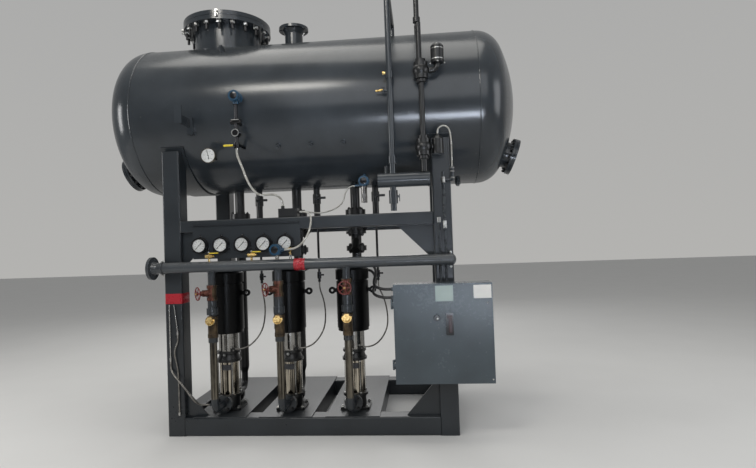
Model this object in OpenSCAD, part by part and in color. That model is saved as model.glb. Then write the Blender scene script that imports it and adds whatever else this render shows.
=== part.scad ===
// Boiler feedwater deaerator skid: a horizontal dished tank on a tube frame, with three
// vertical multistage pumps, their discharge header, gauge board and control enclosure.
// Millimetres. X runs along the tank, -Y faces the pumps' side, Z = 0 is the floor.
// The origin is the middle of the frame's footprint.

/* [Frame] */
// Length of the frame along the tank
frame_len = 2438; // [2300:1:2600]
// Depth of the frame, front face to rear face
frame_depth = 1290; // [1260:1:1340]
// Side of the square tube used for columns and base
post = 152; // [140:1:165]
// Corner radius of the square tube
post_r = 14; // [4:1:20]
// Height of the columns, before they are coped to the tank
post_top = 2410; // [2330:1:2480]
// Top of the middle beams above the floor
mid_top = 1812; // [1790:1:1850]
// Height and depth of the middle beams
mid_beam = 102; // [90:1:120]
// Leg of the upper gussets and of the right lower one
gusset = 300; // [240:1:340]
// Leg of the gusset at the foot of the left front column
small_gusset = 190; // [120:1:240]
// Thickness of the gusset plates
gusset_t = 12; // [8:1:20]
// Width of the plate that each pump stands on
pad_w = 448; // [400:1:500]
// Thickness of the pump plates
pad_t = 8; // [6:1:14]
// Width of the flanges of the channels under the plates
channel_w = 50; // [40:1:60]
// Thickness of the channels
channel_t = 8; // [5:0.5:10]

/* [Tank] */
// Outside diameter of the tank
tank_od = 1372; // [1340:1:1390]
// Height of the tank's axis above the floor
tank_z = 2787; // [2770:1:2830]
// Length of the shell between the two head seams
shell_len = 2960; // [2900:2:3000]
// Wall thickness of the shell and heads
tank_wall = 10; // [6:0.5:14]
// Length of the heads' straight flange
head_flange = 16; // [12:1:50]
// Thickness of the saddle pads between columns and tank
saddle_t = 12; // [8:1:16]
// Width of the saddle pads
saddle_w = 200; // [180:1:260]
// Half of the angle that a saddle pad wraps round the tank, from the bottom
saddle_half_angle = 61; // [58:1:66]

/* [Tank fittings] */
// Outside diameter of the deaerating dome's neck
dome_od = 609.6; // [590:0.1:660]
// Place of the dome along the tank
dome_x = -842; // [-900:1:-800]
// Outside diameter of the dome's flange and cover
dome_flange_od = 813; // [790:1:840]
// Height of the dome cover's top above the floor
dome_top = 3715; // [3680:1:3760]
// Thickness of the dome's flange, and of its cover
dome_plate = 38; // [25:1:45]
// Place of the vent nozzle along the tank
vent_x = -190; // [-230:5:-150]
// Outside diameter of the vent nozzle's pipe
vent_od = 168.3; // [150:0.1:170]
// Inside diameter of the vent nozzle's pipe
vent_id = 154.1; // [120:0.1:156]
// Height of the vent flange's face above the floor
vent_top = 3662; // [3640:1:3720]
// Height of the handhole centres below the tank's axis
handhole_drop = 437; // [400:1:460]
// Outside diameter of the handhole covers
handhole_od = 330; // [280:1:360]
// Length of the handhole necks outside the head
handhole_neck = 70; // [50:1:100]

/* [Pumps] */
// Distance between pumps
pump_pitch = 562; // [545:1:580]
// Place of the middle pump along the frame
pump_mid_x = -212; // [-225:1:-200]
// Distance of the pump axes in front of the frame's middle
pump_y = 385; // [370:1:400]
// Height of the pump ports above the pump's foot
port_h = 76; // [76:1:90]
// Distance between the faces of a pump's two ports
port_span = 300; // [280:2:320]
// Outside diameter of the pump port flanges
port_flange_od = 150; // [140:1:150]
// Outside diameter of the stainless sleeve
sleeve_od = 164; // [150:1:172]
// Height of the sleeve's foot above the pump's foot
sleeve_z = 132; // [125:1:140]
// Length of the sleeve
sleeve_len = 283; // [250:1:320]
// Height of the pump head
head_len = 92; // [80:1:110]
// Height of the motor stool with its coupling guards
stool_len = 160; // [140:1:180]
// Outside diameter of the motor
motor_od = 278; // [260:1:290]
// Height of the motor, without its fan cowl
motor_len = 440; // [410:1:460]
// Height of the fan cowl
cowl_len = 105; // [90:1:125]

/* [Piping] */
// Outside diameter of the discharge header
header_od = 88.9; // [80:0.1:95]
// Inside diameter of the discharge header
header_id = 77.9; // [60:0.1:78]
// Height of the header's axis above the floor
header_z = 1420; // [1408:1:1440]
// Distance of the header's axis in front of the columns
header_out = 75; // [70:1:85]
// Outside diameter of the discharge risers
riser_od = 60.3; // [50:0.1:64]
// Outside diameter of the suction drops
suction_od = 88.9; // [80:0.1:95]
// Outside diameter of the flanges on header and suction drops
pipe_flange_od = 190; // [180:1:200]
// Thickness of these flanges
pipe_flange_t = 24; // [18:1:26]
// Outside diameter of the bypass lines beside the suction drops
bypass_od = 60.3; // [42:0.1:64]
// Distance from each suction drop to its bypass line
bypass_off = 195; // [170:1:220]
// Outside diameter of the equalizing pipe in front of the tank
equalizer_od = 48.3; // [42:0.1:50]
// Place of the equalizing pipe along the frame
equalizer_x = 755; // [740:5:780]
// Outside diameter of the float column's pipe
column_od = 42.2; // [33:0.1:45]
// Place of the float column along the frame
column_x = 1008; // [995:1:1020]
// Distance of both front pipes in front of the columns
front_pipe_out = 100; // [92:1:115]
// Height of their top runs over the tank
loop_z = 3628; // [3615:1:3650]
// Outside diameter of the float column's lower cross pipe
cross_od = 114.3; // [100:0.1:120]
// Height of the cross pipe's axis
cross_z = 2066; // [2050:1:2090]
// Height of the upper float cage
upper_cage_z = 2930; // [2900:5:2960]
// Height of the lower float cage
lower_cage_z = 2318; // [2300:5:2350]

/* [Valves and instruments] */
// Outside diameter of the valve handwheels
wheel_od = 112; // [100:1:125]
// Thickness of the handwheel rim
wheel_rim = 10; // [8:0.5:12]
// Outside diameter of the gauge cases
gauge_od = 130; // [110:1:140]
// Distance between gauges on the board
gauge_pitch = 182.5; // [170:0.5:190]
// Place of the middle gauge along the frame
gauge_mid_x = -524; // [-540:1:-510]
// Height of the gauge centres above the floor
gauge_z = 1598; // [1585:1:1612]
// Height of the gauge board
board_h = 283; // [260:1:300]
// Thickness of the gauge board
board_t = 6; // [4:1:8]
// Outside diameter of the tank thermometer
thermo_od = 127; // [110:1:135]
// Outside diameter of the transmitter housings
transmitter_od = 88; // [75:1:95]

/* [Control enclosure] */
// Width of the enclosure
box_w = 762; // [740:1:800]
// Height of the enclosure
box_h = 770; // [740:1:800]
// Depth of the enclosure, back to door face
box_d = 200; // [180:1:230]
// Place of its left side along the frame
box_x = 730; // [720:1:745]
// Height of its underside above the floor
box_z = 468; // [450:1:480]
// Sheet thickness of body and door
sheet = 3; // [2:0.5:4]
// Depth of the door's rolled lip
door_lip = 18; // [15:1:25]
// Gap between the shut door and the body
door_gap = 5; // [5:0.5:7]
// Distance of the hinge axis outside the enclosure's side
hinge_off = 14; // [13:0.5:18]
// Diameter of the hinge pins
hinge_pin_d = 8; // [6:0.5:9]

/* [Hidden] */
$fn = 64;

steel = "#33383d";
black = "#17181a";
stainless = "#b9b6ae";
bronze = "#8d6b42";
red_paint = "#a5392f";
blue_paint = "#2c5877";
slate = "#4b5460";
white_dial = "#e6e6e0";
grey_hose = "#b8b6ac";

front_y = -frame_depth / 2;
col_x = frame_len / 2 - post / 2;
col_y = frame_depth / 2 - post / 2;
bay_x = frame_len - 2 * post;
bay_y = frame_depth - 2 * post;
tank_r = tank_od / 2;
seat = 0.3;
saddle_r = tank_r + seat + saddle_t;
pad_top = post + pad_t;
port_z = pad_top + port_h;
front_pipe_y = frame_depth / 2 + front_pipe_out;
header_y = front_y - header_out;
pump_xs = [pump_mid_x - pump_pitch, pump_mid_x, pump_mid_x + pump_pitch];
crown_r = 0.9 * tank_od;
knuckle_r = 0.17 * tank_od;
crown_drop = crown_r - sqrt(pow(crown_r - knuckle_r, 2) - pow(tank_r - knuckle_r, 2));

// Extrudes a square tube's outline along Z, with round corners.
module tube_bar(a, b, len, r) {
    linear_extrude(len) union() {
        square([a - 2 * r, b], center = true);
        square([a, b - 2 * r], center = true);
        for (x = [-1, 1], y = [-1, 1]) translate([x * (a / 2 - r), y * (b / 2 - r)]) circle(r);
    }
}

// Lays a bar along X or along Y, centred on the origin.
module bar_x(len, h, w, r) {
    translate([-len / 2, 0, 0]) rotate([90, 0, 90]) tube_bar(w, h, len, r);
}
module bar_y(len, h, w, r) {
    translate([0, len / 2, 0]) rotate([90, 0, 0]) tube_bar(w, h, len, r);
}

// Cylinders along the three axes, from one end to the other.
module rod_x(x0, x1, r) { translate([x0, 0, 0]) rotate([0, 90, 0]) cylinder(r = r, h = x1 - x0); }
module rod_y(y0, y1, r) { translate([0, y0, 0]) rotate([-90, 0, 0]) cylinder(r = r, h = y1 - y0); }
module rod_z(z0, z1, r) { translate([0, 0, z0]) cylinder(r = r, h = z1 - z0); }

// A quarter bend that starts at the origin along +Z and ends along +X.
module bend_zx(r, bend_r) {
    translate([bend_r, 0, 0]) rotate([90, 0, 180]) rotate_extrude(angle = 90) translate([bend_r, 0]) circle(r);
}
// The same bend, ending along +Y or along -Y.
module bend_zy(r, bend_r) { rotate([0, 0, 90]) bend_zx(r, bend_r); }
module bend_zy_minus(r, bend_r) { rotate([0, 0, -90]) bend_zx(r, bend_r); }

// A flange disc on a hub, face at z = 0, reaching down.
module hub_flange(od, t, pipe_r, hub) {
    rod_z(-t, 0, od / 2);
    translate([0, 0, -t - hub]) cylinder(r1 = pipe_r, r2 = pipe_r * 1.28, h = hub);
}

// Bolt holes through a flange that lies below z = 0.
module bolt_holes(n, pcd, d, t) {
    for (i = [0 : n - 1]) rotate([0, 0, (i + 0.5) * 360 / n]) translate([pcd / 2, 0, -t - 1]) cylinder(d = d, h = t + 2);
}

// Half section of a dished head: crown arc, knuckle arc and straight flange.
module head_section(r, crown, knuckle, drop, straight) {
    centre_y = drop - crown;
    reach = crown * 1.2;
    along = [r - knuckle, -centre_y] * (reach / (crown - knuckle));
    intersection() {
        translate([0, centre_y]) circle(crown, $fn = 256);
        polygon([[0, 0], [r - knuckle, 0], [along[0], centre_y + along[1]], [0, reach]]);
    }
    intersection() {
        translate([r - knuckle, 0]) circle(knuckle, $fn = 128);
        translate([r - knuckle, 0]) square([knuckle + 1, knuckle + 1]);
    }
    translate([0, -straight]) square([r, straight]);
}

// Frame

module column(sx, sy) {
    color(steel) difference() {
        translate([sx * col_x, sy * col_y, 0]) tube_bar(post, post, post_top, post_r);
        translate([0, 0, tank_z]) rotate([0, 90, 0]) cylinder(r = saddle_r + seat, h = frame_len + 2, center = true, $fn = 128);
    }
}

// A triangular plate in the corner of a bay, legs along +X and +Z.
module gusset_plate(leg_x, leg_z) {
    rotate([90, 0, 0]) linear_extrude(gusset_t) polygon([[0, 0], [leg_x, 0], [0, leg_z]]);
}

module front_column(sx, foot) {
    y = front_y + mid_beam / 2 + gusset_t / 2;
    column(sx, -1);
    color(steel) translate([sx * (col_x - post / 2), y, 0]) {
        translate([0, 0, mid_top - mid_beam]) mirror([sx > 0 ? 1 : 0, 0, 0]) mirror([0, 0, 1]) gusset_plate(gusset, gusset);
        translate([0, 0, post]) mirror([sx > 0 ? 1 : 0, 0, 0]) gusset_plate(foot, foot * 1.15);
    }
}
module column_front_left() { front_column(-1, small_gusset); }
module column_front_right() { front_column(1, gusset * 0.9); }
module rear_columns() {
    for (sx = [-1, 1]) column(sx, 1);
}

module base_front_beam() {
    color(steel) translate([0, -col_y, post / 2]) bar_x(bay_x, post, post, post_r);
}
module base_rear_beam() {
    color(steel) translate([0, col_y, post / 2]) bar_x(bay_x, post, post, post_r);
}
module base_side_beams() {
    for (sx = [-1, 1]) color(steel) translate([sx * col_x, 0, post / 2]) bar_y(bay_y, post, post, post_r);
}

module mid_long(sy) {
    y = sy * (frame_depth - mid_beam) / 2;
    color(steel) translate([0, y, mid_top - mid_beam / 2]) bar_x(bay_x, mid_beam, mid_beam, post_r * 0.7);
}
module mid_front_beam() { mid_long(-1); }
module mid_rear_beam() { mid_long(1); }
module mid_side_beams() {
    for (sx = [-1, 1])
        color(steel) translate([sx * col_x, 0, mid_top - mid_beam / 2]) bar_y(bay_y, mid_beam, mid_beam, post_r * 0.7);
}

// Two channels under each pump plate, from beam to beam, flanges turned to each other.
module cross_channels() {
    span = bay_y - 2 * seat;
    for (x = pump_xs, s = [-1, 1])
        color(steel) translate([x, 0, 0]) mirror([s > 0 ? 0 : 1, 0, 0]) translate([pad_w / 2, span / 2, 0]) rotate([90, 0, 0])
            linear_extrude(span) difference() {
                translate([-channel_w, 0]) square([channel_w, post]);
                translate([-channel_w - 1, channel_t]) square([channel_w - channel_t + 1, post - 2 * channel_t]);
            }
}

// Plates the pumps stand on, notched round the foot of the left column's gusset.
module pump_plates() {
    notch = gusset_t + 6;
    gusset_y = front_y + mid_beam / 2;
    color(steel) difference() {
        for (x = pump_xs) translate([x - pad_w / 2, front_y, post]) cube([pad_w, frame_depth, pad_t]);
        translate([-bay_x / 2, gusset_y - notch / 2, post - 1]) cube([small_gusset + 3, notch, pad_t + 2]);
    }
}

// Rolled pads between the columns and the tank's underside.
module saddles() {
    for (sx = [-1, 1]) color(steel) translate([sx * col_x, 0, tank_z]) rotate([90, 180, 90])
        rotate([0, 0, 90 - saddle_half_angle]) translate([0, 0, -saddle_w / 2])
            rotate_extrude(angle = 2 * saddle_half_angle, $fn = 128)
                translate([tank_r + seat, 0]) square([saddle_t, saddle_w]);
}

// Tank

module tank_shell() {
    color(steel) difference() {
        rotate_shell() difference() {
            cylinder(r = tank_r, h = shell_len, center = true, $fn = 128);
            cylinder(r = tank_r - tank_wall, h = shell_len + 2, center = true, $fn = 128);
        }
        translate([dome_x, 0, tank_z]) rod_z(0, tank_od, dome_od / 2 + seat);
        translate([vent_x, 0, tank_z]) rod_z(0, tank_od, vent_od / 2 + seat);
    }
}
module rotate_shell() { translate([0, 0, tank_z]) rotate([0, 90, 0]) children(); }

module dished_head(sx) {
    color(steel) translate([sx * (shell_len / 2 + head_flange), 0, tank_z]) rotate([0, sx * 90, 0])
        rotate_extrude($fn = 128) difference() {
            head_section(tank_r, crown_r, knuckle_r, crown_drop, head_flange);
            head_section(tank_r - tank_wall, crown_r - tank_wall, knuckle_r - tank_wall, crown_drop - tank_wall, head_flange + 1);
        }
}
module tank_head_left() { dished_head(-1); }
module tank_head_right() { dished_head(1); }

// The deaerating dome: a short neck with a flange ring, and its bolted cover.
module dome_neck() {
    ring_top = dome_top - dome_plate - 3;
    neck_foot = tank_z + sqrt(pow(tank_r, 2) - pow(dome_od / 2, 2)) - tank_wall;
    color(steel) translate([dome_x, 0, 0]) difference() {
        union() {
            rod_z(neck_foot - tank_wall, ring_top, dome_od / 2);
            rod_z(ring_top - dome_plate, ring_top, dome_flange_od / 2);
        }
        rod_z(neck_foot - tank_wall - 1, ring_top + 1, dome_od / 2 - tank_wall);
    }
}
module dome_cover() {
    color(steel) translate([dome_x, 0, 0]) {
        rod_z(dome_top - dome_plate, dome_top, dome_flange_od / 2);
        rod_z(dome_top - dome_plate - 3 + seat, dome_top - dome_plate, dome_od / 2 + 12);
    }
}

module vent_nozzle() {
    flange_t = 25.4;
    flange_od = 279.4;
    foot = tank_z + tank_r - 40;
    color(steel) translate([vent_x, 0, 0]) difference() {
        union() {
            rod_z(foot, vent_top - flange_t, vent_od / 2);
            translate([0, 0, vent_top]) hub_flange(flange_od, flange_t, vent_od / 2, 40);
        }
        rod_z(foot - 1, vent_top + 1, vent_id / 2);
        translate([0, 0, vent_top]) bolt_holes(8, 241.3, 22.2, flange_t);
    }
}

// A bolted handhole on the lower part of each head, square to the crown and cut to it.
module handhole(sx) {
    slope = asin(handhole_drop / crown_r);
    neck_r = handhole_od * 0.36;
    cover_t = 22;
    crown_x = shell_len / 2 + head_flange + crown_drop - crown_r;
    color(steel) translate([sx * crown_x, 0, tank_z]) rotate([0, sx * (90 + slope), 0]) difference() {
        translate([0, 0, crown_r]) {
            rod_z(-12, handhole_neck, neck_r);
            rod_z(handhole_neck - cover_t, handhole_neck, handhole_od / 2);
            rod_z(handhole_neck, handhole_neck + 3, neck_r + 20);
            rod_z(handhole_neck + 3, handhole_neck + 3 + cover_t, handhole_od / 2);
        }
        sphere(crown_r + seat, $fn = 200);
    }
}
module handholes() {
    for (sx = [-1, 1]) handhole(sx);
}

// Cuts the foot of whatever stands on the tank, or on the header, to a small seat.
module on_tank() {
    difference() {
        children();
        rotate_shell() cylinder(r = tank_r + seat, h = shell_len, center = true, $fn = 128);
    }
}
module on_header() {
    difference() {
        children();
        translate([0, header_y, header_z]) rod_x(-frame_len / 2, frame_len / 2, header_od / 2 + seat);
    }
}

// Half couplings round the tank, square to its wall, each with a plug.
module half_coupling(x, angle, r, len) {
    translate([x, 0, tank_z]) rotate([angle, 0, 0]) translate([0, 0, -tank_r - len]) {
        rod_z(0, len + 4, r);
        translate([0, 0, -r * 0.6]) cylinder(r = r * 0.62, h = r * 0.6, $fn = 6);
    }
}
module tank_fittings() {
    plug_angle = -57.8;
    nameplate_bracket();
    color(steel) on_tank() {
        for (x = [-218, 61, 339]) half_coupling(x, plug_angle, 24, 34);
        half_coupling(-744, -142, 26, 34);
        half_coupling(col_x + saddle_w / 2 + 67, -12, 24, 40);
    }
}

// A stand-off arm beside the left saddle: root plate on the tank, arm, and the end plate.
module nameplate_bracket() {
    root = [50, 146];
    arm = [12, 75];
    end_plate = [60, 145, 10];
    x = -940;
    z = 2607;
    reach = 890;
    color(black) on_tank() translate([x, 0, z]) {
        translate([-root[0] / 2, -tank_r - 4, 0]) translate([0, 0, -root[1] / 2]) cube([root[0], 60, root[1]]);
        translate([-arm[0] / 2 - 4, -reach + end_plate[2] - 1, -17]) cube([arm[0], reach - tank_r, arm[1]]);
        translate([-end_plate[0] / 2 - 5, -reach, -22]) cube([end_plate[0], end_plate[2], end_plate[1]]);
    }
}

// Pumps

module pump_bases() {
    body_r = port_flange_od / 2 + 22;
    for (x = pump_xs) color(black) translate([x, -pump_y, pad_top]) {
        tube_bar(250, 210, 18, 30);
        rod_z(0, sleeve_z - 22, body_r - 8);
        translate([0, 0, port_h]) {
            rod_y(-port_span / 2 + 18, port_span / 2 - 18, 44);
            for (s = [-1, 1]) translate([0, s * (port_span / 2 - 9), 0]) rod_y(-9, 9, port_flange_od / 2);
        }
        rod_z(sleeve_z - 22, sleeve_z, sleeve_od / 2 + 24);
    }
}
module pump_sleeves() {
    for (x = pump_xs) color(stainless) translate([x, -pump_y, pad_top + sleeve_z]) rod_z(0, sleeve_len, sleeve_od / 2);
}

vent_up = 115;
vent_at = [54, -80];
vent_reach = 34;

module pump_heads() {
    head_r = sleeve_od / 2 + 24;
    for (x = pump_xs) color(black) translate([x, -pump_y, pad_top + sleeve_z + sleeve_len]) {
        rod_z(0, 22, head_r);
        translate([0, 0, 22]) cylinder(r1 = head_r - 8, r2 = head_r - 26, h = head_len - 44);
        rod_z(head_len - 22, head_len, head_r - 6);
        translate([vent_at[0], vent_at[1], 0]) {
            rod_z(head_len - 4, vent_up + 8, 7);
            translate([0, 0, vent_up]) rod_x(0, vent_reach, 8);
        }
    }
}

terminal_turn = -5;
terminal_z = 155;
terminal = [110, 74, 130];
function motor_gland(i) = let (out = motor_od / 2 - 14 + terminal[1] - 26)
    [pump_xs[i] + out * sin(terminal_turn), -pump_y + out * cos(terminal_turn),
        pad_top + sleeve_z + sleeve_len + head_len + stool_len + terminal_z + terminal[2] + 20];

// Stool with bright guards, motor body with lifting eyes, terminal box behind, and fan cowl.
module pump_motors() {
    stool_r = motor_od * 0.31;
    eye_out = motor_od / 2 + 39;
    eye_z = motor_len - 96;
    for (x = pump_xs) translate([x, -pump_y, pad_top + sleeve_z + sleeve_len + head_len]) {
        color(stainless) difference() {
            rod_z(0, stool_len, stool_r);
            rod_z(12, stool_len - 14, stool_r - 8);
            for (a = [0, 90]) rotate([0, 0, a]) translate([-stool_r - 1, -6, 14]) cube([2 * stool_r + 2, 12, stool_len - 30]);
        }
        color(black) translate([0, 0, stool_len]) {
            rod_z(0, 26, motor_od / 2 - 6);
            rod_z(26, motor_len - 14, motor_od / 2);
            rod_z(motor_len - 14, motor_len, motor_od / 2 - 10);
            translate([0, 0, motor_len]) cylinder(r = motor_od / 2 + 5, h = cowl_len - 20);
            translate([0, 0, motor_len + cowl_len - 20]) cylinder(r1 = motor_od / 2 + 5, r2 = motor_od / 2 - 22, h = 20);
            for (s = [-1, 1]) difference() {
                union() {
                    translate([s * eye_out, 0, eye_z]) rod_y(-8, 8, 31);
                    translate([s * (motor_od / 2 + eye_out) / 2 - 25, -8, eye_z - 17]) cube([50, 16, 34]);
                }
                translate([s * eye_out, 0, eye_z]) rod_y(-9, 9, 11);
            }
            rotate([0, 0, -terminal_turn]) translate([0, motor_od / 2 - 14, terminal_z]) {
                translate([-terminal[0] / 2, 0, 0]) cube(terminal);
                translate([0, terminal[1] - 26, terminal[2]]) rod_z(-4, 20, cable_d / 2 + 4);
            }
        }
    }
}

// Piping

module suction_drops() {
    valve_top = 1870;
    strainer_foot = 1530;
    bend = 76;
    top = tank_z - tank_r + 6;
    flange_y = -pump_y + port_span / 2;
    for (x = pump_xs) color(black) on_tank() translate([x, 0, 0]) {
        rod_z(valve_top, top, suction_od / 2);
        rod_z(valve_top - pipe_flange_t, valve_top + pipe_flange_t, pipe_flange_od / 2);
        rod_z(1690, valve_top - pipe_flange_t, suction_od / 2 + 8);
        translate([0, 0, 1760]) rod_y(0, 150, 42);
        translate([0, 0, 1760]) rod_y(150, 166, 62);
        translate([0, 0, 1760]) rod_y(166, 250, 14);
        translate([0, 0, 1760]) rod_y(250, 262, 90);
        rod_z(1666, 1690, pipe_flange_od / 2);
        rod_z(strainer_foot + pipe_flange_t, 1666, suction_od / 2 + 4);
        translate([0, 0, 1615]) rotate([-45, 0, 0]) rod_z(-150, 0, 40);
        rod_z(strainer_foot - pipe_flange_t, strainer_foot + pipe_flange_t, pipe_flange_od / 2);
        rod_z(430, strainer_foot - pipe_flange_t, suction_od / 2);
        translate([0, 0, 380]) cylinder(r1 = riser_od / 2, r2 = suction_od / 2, h = 50);
        rod_z(port_z + bend, 380, riser_od / 2);
        translate([0, 0, port_z + bend]) mirror([0, 0, 1]) bend_zy_minus(riser_od / 2, bend);
        translate([0, 0, port_z]) {
            rod_y(flange_y + 18, -bend, riser_od / 2);
            rod_y(flange_y, flange_y + 18, port_flange_od / 2);
        }
    }
}

bypass_foot_z = 1222;

// Bypass lines: a lever valve under the tank, a thin leg below the beams, a small valve and its hose nipple.
module bypass_lines() {
    top = tank_z - tank_r + 4;
    r = bypass_od / 2;
    leg_r = 11;
    for (x = pump_xs) color(black) on_tank() translate([x + bypass_off, 0, 0]) {
        rod_z(mid_top + 28, top, r);
        translate([0, 0, mid_top - 4]) cylinder(r1 = leg_r + 4, r2 = r, h = 32);
        translate([0, 0, 2010]) {
            rod_z(-46, 46, r * 1.26);
            rod_y(-r - 26, 0, 10);
            translate([-14, -r - 32, -4]) cube([110, 7, 18]);
        }
        rod_z(bypass_foot_z, mid_top, leg_r);
        translate([0, 0, bypass_foot_z + 62]) {
            rod_z(-32, 32, 19);
            rod_y(-34, 0, 8);
            translate([-10, -40, -3]) cube([62, 6, 12]);
        }
        rod_z(bypass_foot_z, bypass_foot_z + 22, 13);
    }
}

nipple_reach = 96;

// Discharge risers: companion flange, elbow and pipe up to the check valve.
module riser_pipes() {
    bend = 76;
    flange_y = -pump_y - port_span / 2;
    for (x = pump_xs) color(steel) translate([x, 0, 0]) {
        translate([0, 0, port_z]) {
            rod_y(flange_y - 18, flange_y, port_flange_od / 2);
            rod_y(header_y + bend, flange_y - 18, riser_od / 2);
        }
        translate([0, header_y, port_z + bend]) mirror([0, 0, 1]) bend_zy(riser_od / 2, bend);
        if (x == pump_xs[0]) translate([0, header_y + 120, port_z + 14]) rod_x(-nipple_reach, -20, 9);
        translate([0, header_y, 0]) {
            rod_z(port_z + bend, 798, riser_od / 2);
            rod_z(798, 838, riser_od / 2 + 8);
            rod_z(1012, 1026, riser_od / 2);
            rod_z(1026, 1080, riser_od / 2 + 16);
        }
    }
    for (i = [0 : 2]) color(steel) translate([pump_xs[i], header_y, 0]) {
        rod_z(1080, gate_zs[i] - gate_half, riser_od / 2 + 6);
        rod_z(gate_zs[i] + gate_half, header_z - header_od / 2 + 6, riser_od / 2);
    }
}

wheel_turns = [45, 45, 0];
gate_zs = [1206, 1226, 1226];
gate_half = 63;
cap_z = 962;
cap_tilt = 20;
cap_reach = 62;
bonnet_len = 78;
stem_len = 132;
stem_r = 6;

// Bronze check valve below and gate valve above, with its bonnet and stem.
module riser_valves() {
    for (i = [0 : 2]) color(bronze) translate([pump_xs[i], header_y, 0]) {
        rod_z(838, 868, riser_od / 2 + 12);
        rod_z(868, 990, riser_od / 2 + 9);
        rod_z(982, 1012, riser_od / 2 + 12);
        translate([0, 0, cap_z]) rotate([-cap_tilt, 0, 0]) {
            rod_y(-cap_reach, 0, 36);
            rod_y(-cap_reach, -cap_reach + 12, 40);
            translate([0, -cap_reach, 0]) rotate([90, 0, 0]) cylinder(r = 30, h = 18, $fn = 6);
        }
        translate([0, 0, gate_zs[i]]) {
            rod_z(-gate_half, 26 - gate_half, riser_od / 2 + 11);
            rod_z(26 - gate_half, gate_half - 26, riser_od / 2 + 5);
            rod_z(gate_half - 26, gate_half, riser_od / 2 + 11);
        }
        translate([0, 0, gate_zs[i]]) rotate([0, 0, -wheel_turns[i]]) {
            rod_y(-bonnet_len, 0, 27);
            translate([0, -bonnet_len, 0]) rotate([90, 0, 0]) cylinder(r = 22, h = 20, $fn = 6);
            rod_y(-stem_len, -bonnet_len, stem_r);
        }
    }
}

// A cast handwheel: rim, five spokes and a hub on the stem.
module handwheel(i) {
    hub_back = stem_len - 20;
    rim_r = (wheel_od - wheel_rim) / 2;
    color(red_paint) translate([pump_xs[i], header_y, gate_zs[i]]) rotate([0, 0, -wheel_turns[i]])
        translate([0, -hub_back - 8, 0]) rotate([90, 0, 0]) difference() {
            union() {
                rotate_extrude() translate([rim_r, 0]) circle(wheel_rim / 2, $fn = 24);
                for (a = [0 : 72 : 288]) rotate([0, 0, a]) rod_x(0, rim_r, 3.6, $fn = 16);
                rod_z(-8, 8, 12);
            }
            rod_z(-9, 9, stem_r + 0.1);
        }
}
module handwheel_left() { handwheel(0); }
module handwheel_middle() { handwheel(1); }
module handwheel_right() { handwheel(2); }

header_past_left = 73;

// Header across the front, flanged on the left, capped on the right, on two clamps.
module discharge_header() {
    left = -frame_len / 2 - header_past_left;
    right = frame_len / 2 - 7;
    flange_bore = 70;
    pipe_bore = 240;
    flange_t = 23.9;
    cap_r = header_od / 2;
    color(steel) translate([0, header_y, header_z]) {
        difference() {
            union() {
                rod_x(left + flange_t, right, header_od / 2);
                translate([left, 0, 0]) rotate([0, -90, 0]) hub_flange(190.5, flange_t, header_od / 2, 40);
                translate([right, 0, 0]) rotate([0, 90, 0]) rotate_extrude() intersection() {
                    translate([0, -cap_r * 0.7]) circle(cap_r * 1.22);
                    translate([0, -1]) square([cap_r, cap_r]);
                }
            }
            rod_x(left - 1, left + flange_bore, header_id / 2);
            rod_x(left + flange_bore, left + pipe_bore, header_id / 2 + 0.6);
            translate([left, 0, 0]) rotate([0, -90, 0]) bolt_holes(4, 152.4, 19, flange_t);
            for (x = pump_xs) translate([x, 0, -header_od / 2 - 1]) rod_z(-1, 7, riser_od / 2 + seat);
        }
        for (s = [-1, 1]) translate([s * (frame_len / 2 - 26), 0, 0]) {
            rod_x(-9, 9, header_od / 2 + 7);
            translate([-9, 0, -30]) cube([18, header_out - seat, 60]);
        }
    }
}

// Instruments

gauge_xs = [for (i = [-2 : 2]) gauge_mid_x + i * gauge_pitch];
board_x0 = gauge_xs[0] - 66;
board_x1 = gauge_xs[4] + 124;

module gauge_board() {
    top = mid_top - 44;
    color(steel) {
        translate([board_x0, front_y - board_t, top - board_h]) cube([board_x1 - board_x0, board_t, board_h]);
        translate([board_x0, front_y - board_t - 16, top - 4]) cube([board_x1 - board_x0, 17, 4]);
    }
}

module pressure_gauges() {
    case_len = 44;
    for (x = gauge_xs) translate([x, front_y - board_t - seat, gauge_z]) {
        color(black) difference() {
            union() {
                rod_y(-case_len, 0, gauge_od / 2);
                rod_y(-12, 0, gauge_od / 2 + 6);
            }
            rod_y(-case_len - 1, -case_len + 8, gauge_od / 2 - 8);
        }
    }
}

// Two small ball valves on the header that feed the gauges.
module small_cocks() {
    z = header_z + header_od / 2;
    for (x = [-790, -430]) color(bronze) on_header() translate([x, header_y, 0]) {
        rod_z(z - 3, z + 42, 9);
        translate([0, 0, z + 42]) rod_x(-30, 30, 15);
        translate([0, 0, z + 42]) rod_z(0, 26, 6);
        translate([-8, -8, z + 66]) cube([84, 16, 4]);
        translate([30, 0, z + 42]) rod_x(0, 14, 9);
    }
}

// A round two-lid housing on a neck, its window towards the front.
module transmitter_head(len) {
    rod_y(-len / 2, len / 2, transmitter_od / 2 - 5);
    rod_y(-len / 2 - 14, -len / 2 + 26, transmitter_od / 2);
    rod_y(len / 2 - 26, len / 2 + 14, transmitter_od / 2);
}

header_tx_at = [-216, header_y - 26, header_z + header_od / 2 + 78];
header_tx_arm = 70;

module header_transmitter() {
    z = header_z + header_od / 2;
    color(blue_paint) translate(header_tx_at) transmitter_head(66);
    color(blue_paint) translate(header_tx_at) rod_x(0, header_tx_arm, 13);
    color(stainless) on_header() {
        translate([-216, header_y, 0]) {
            rod_z(z - 3, z + 26, 16);
            rod_z(z + 26, z + 60, 11);
        }
        translate([-104, header_y, 0]) rod_z(z - 3, z + 34, 11);
    }
}

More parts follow.
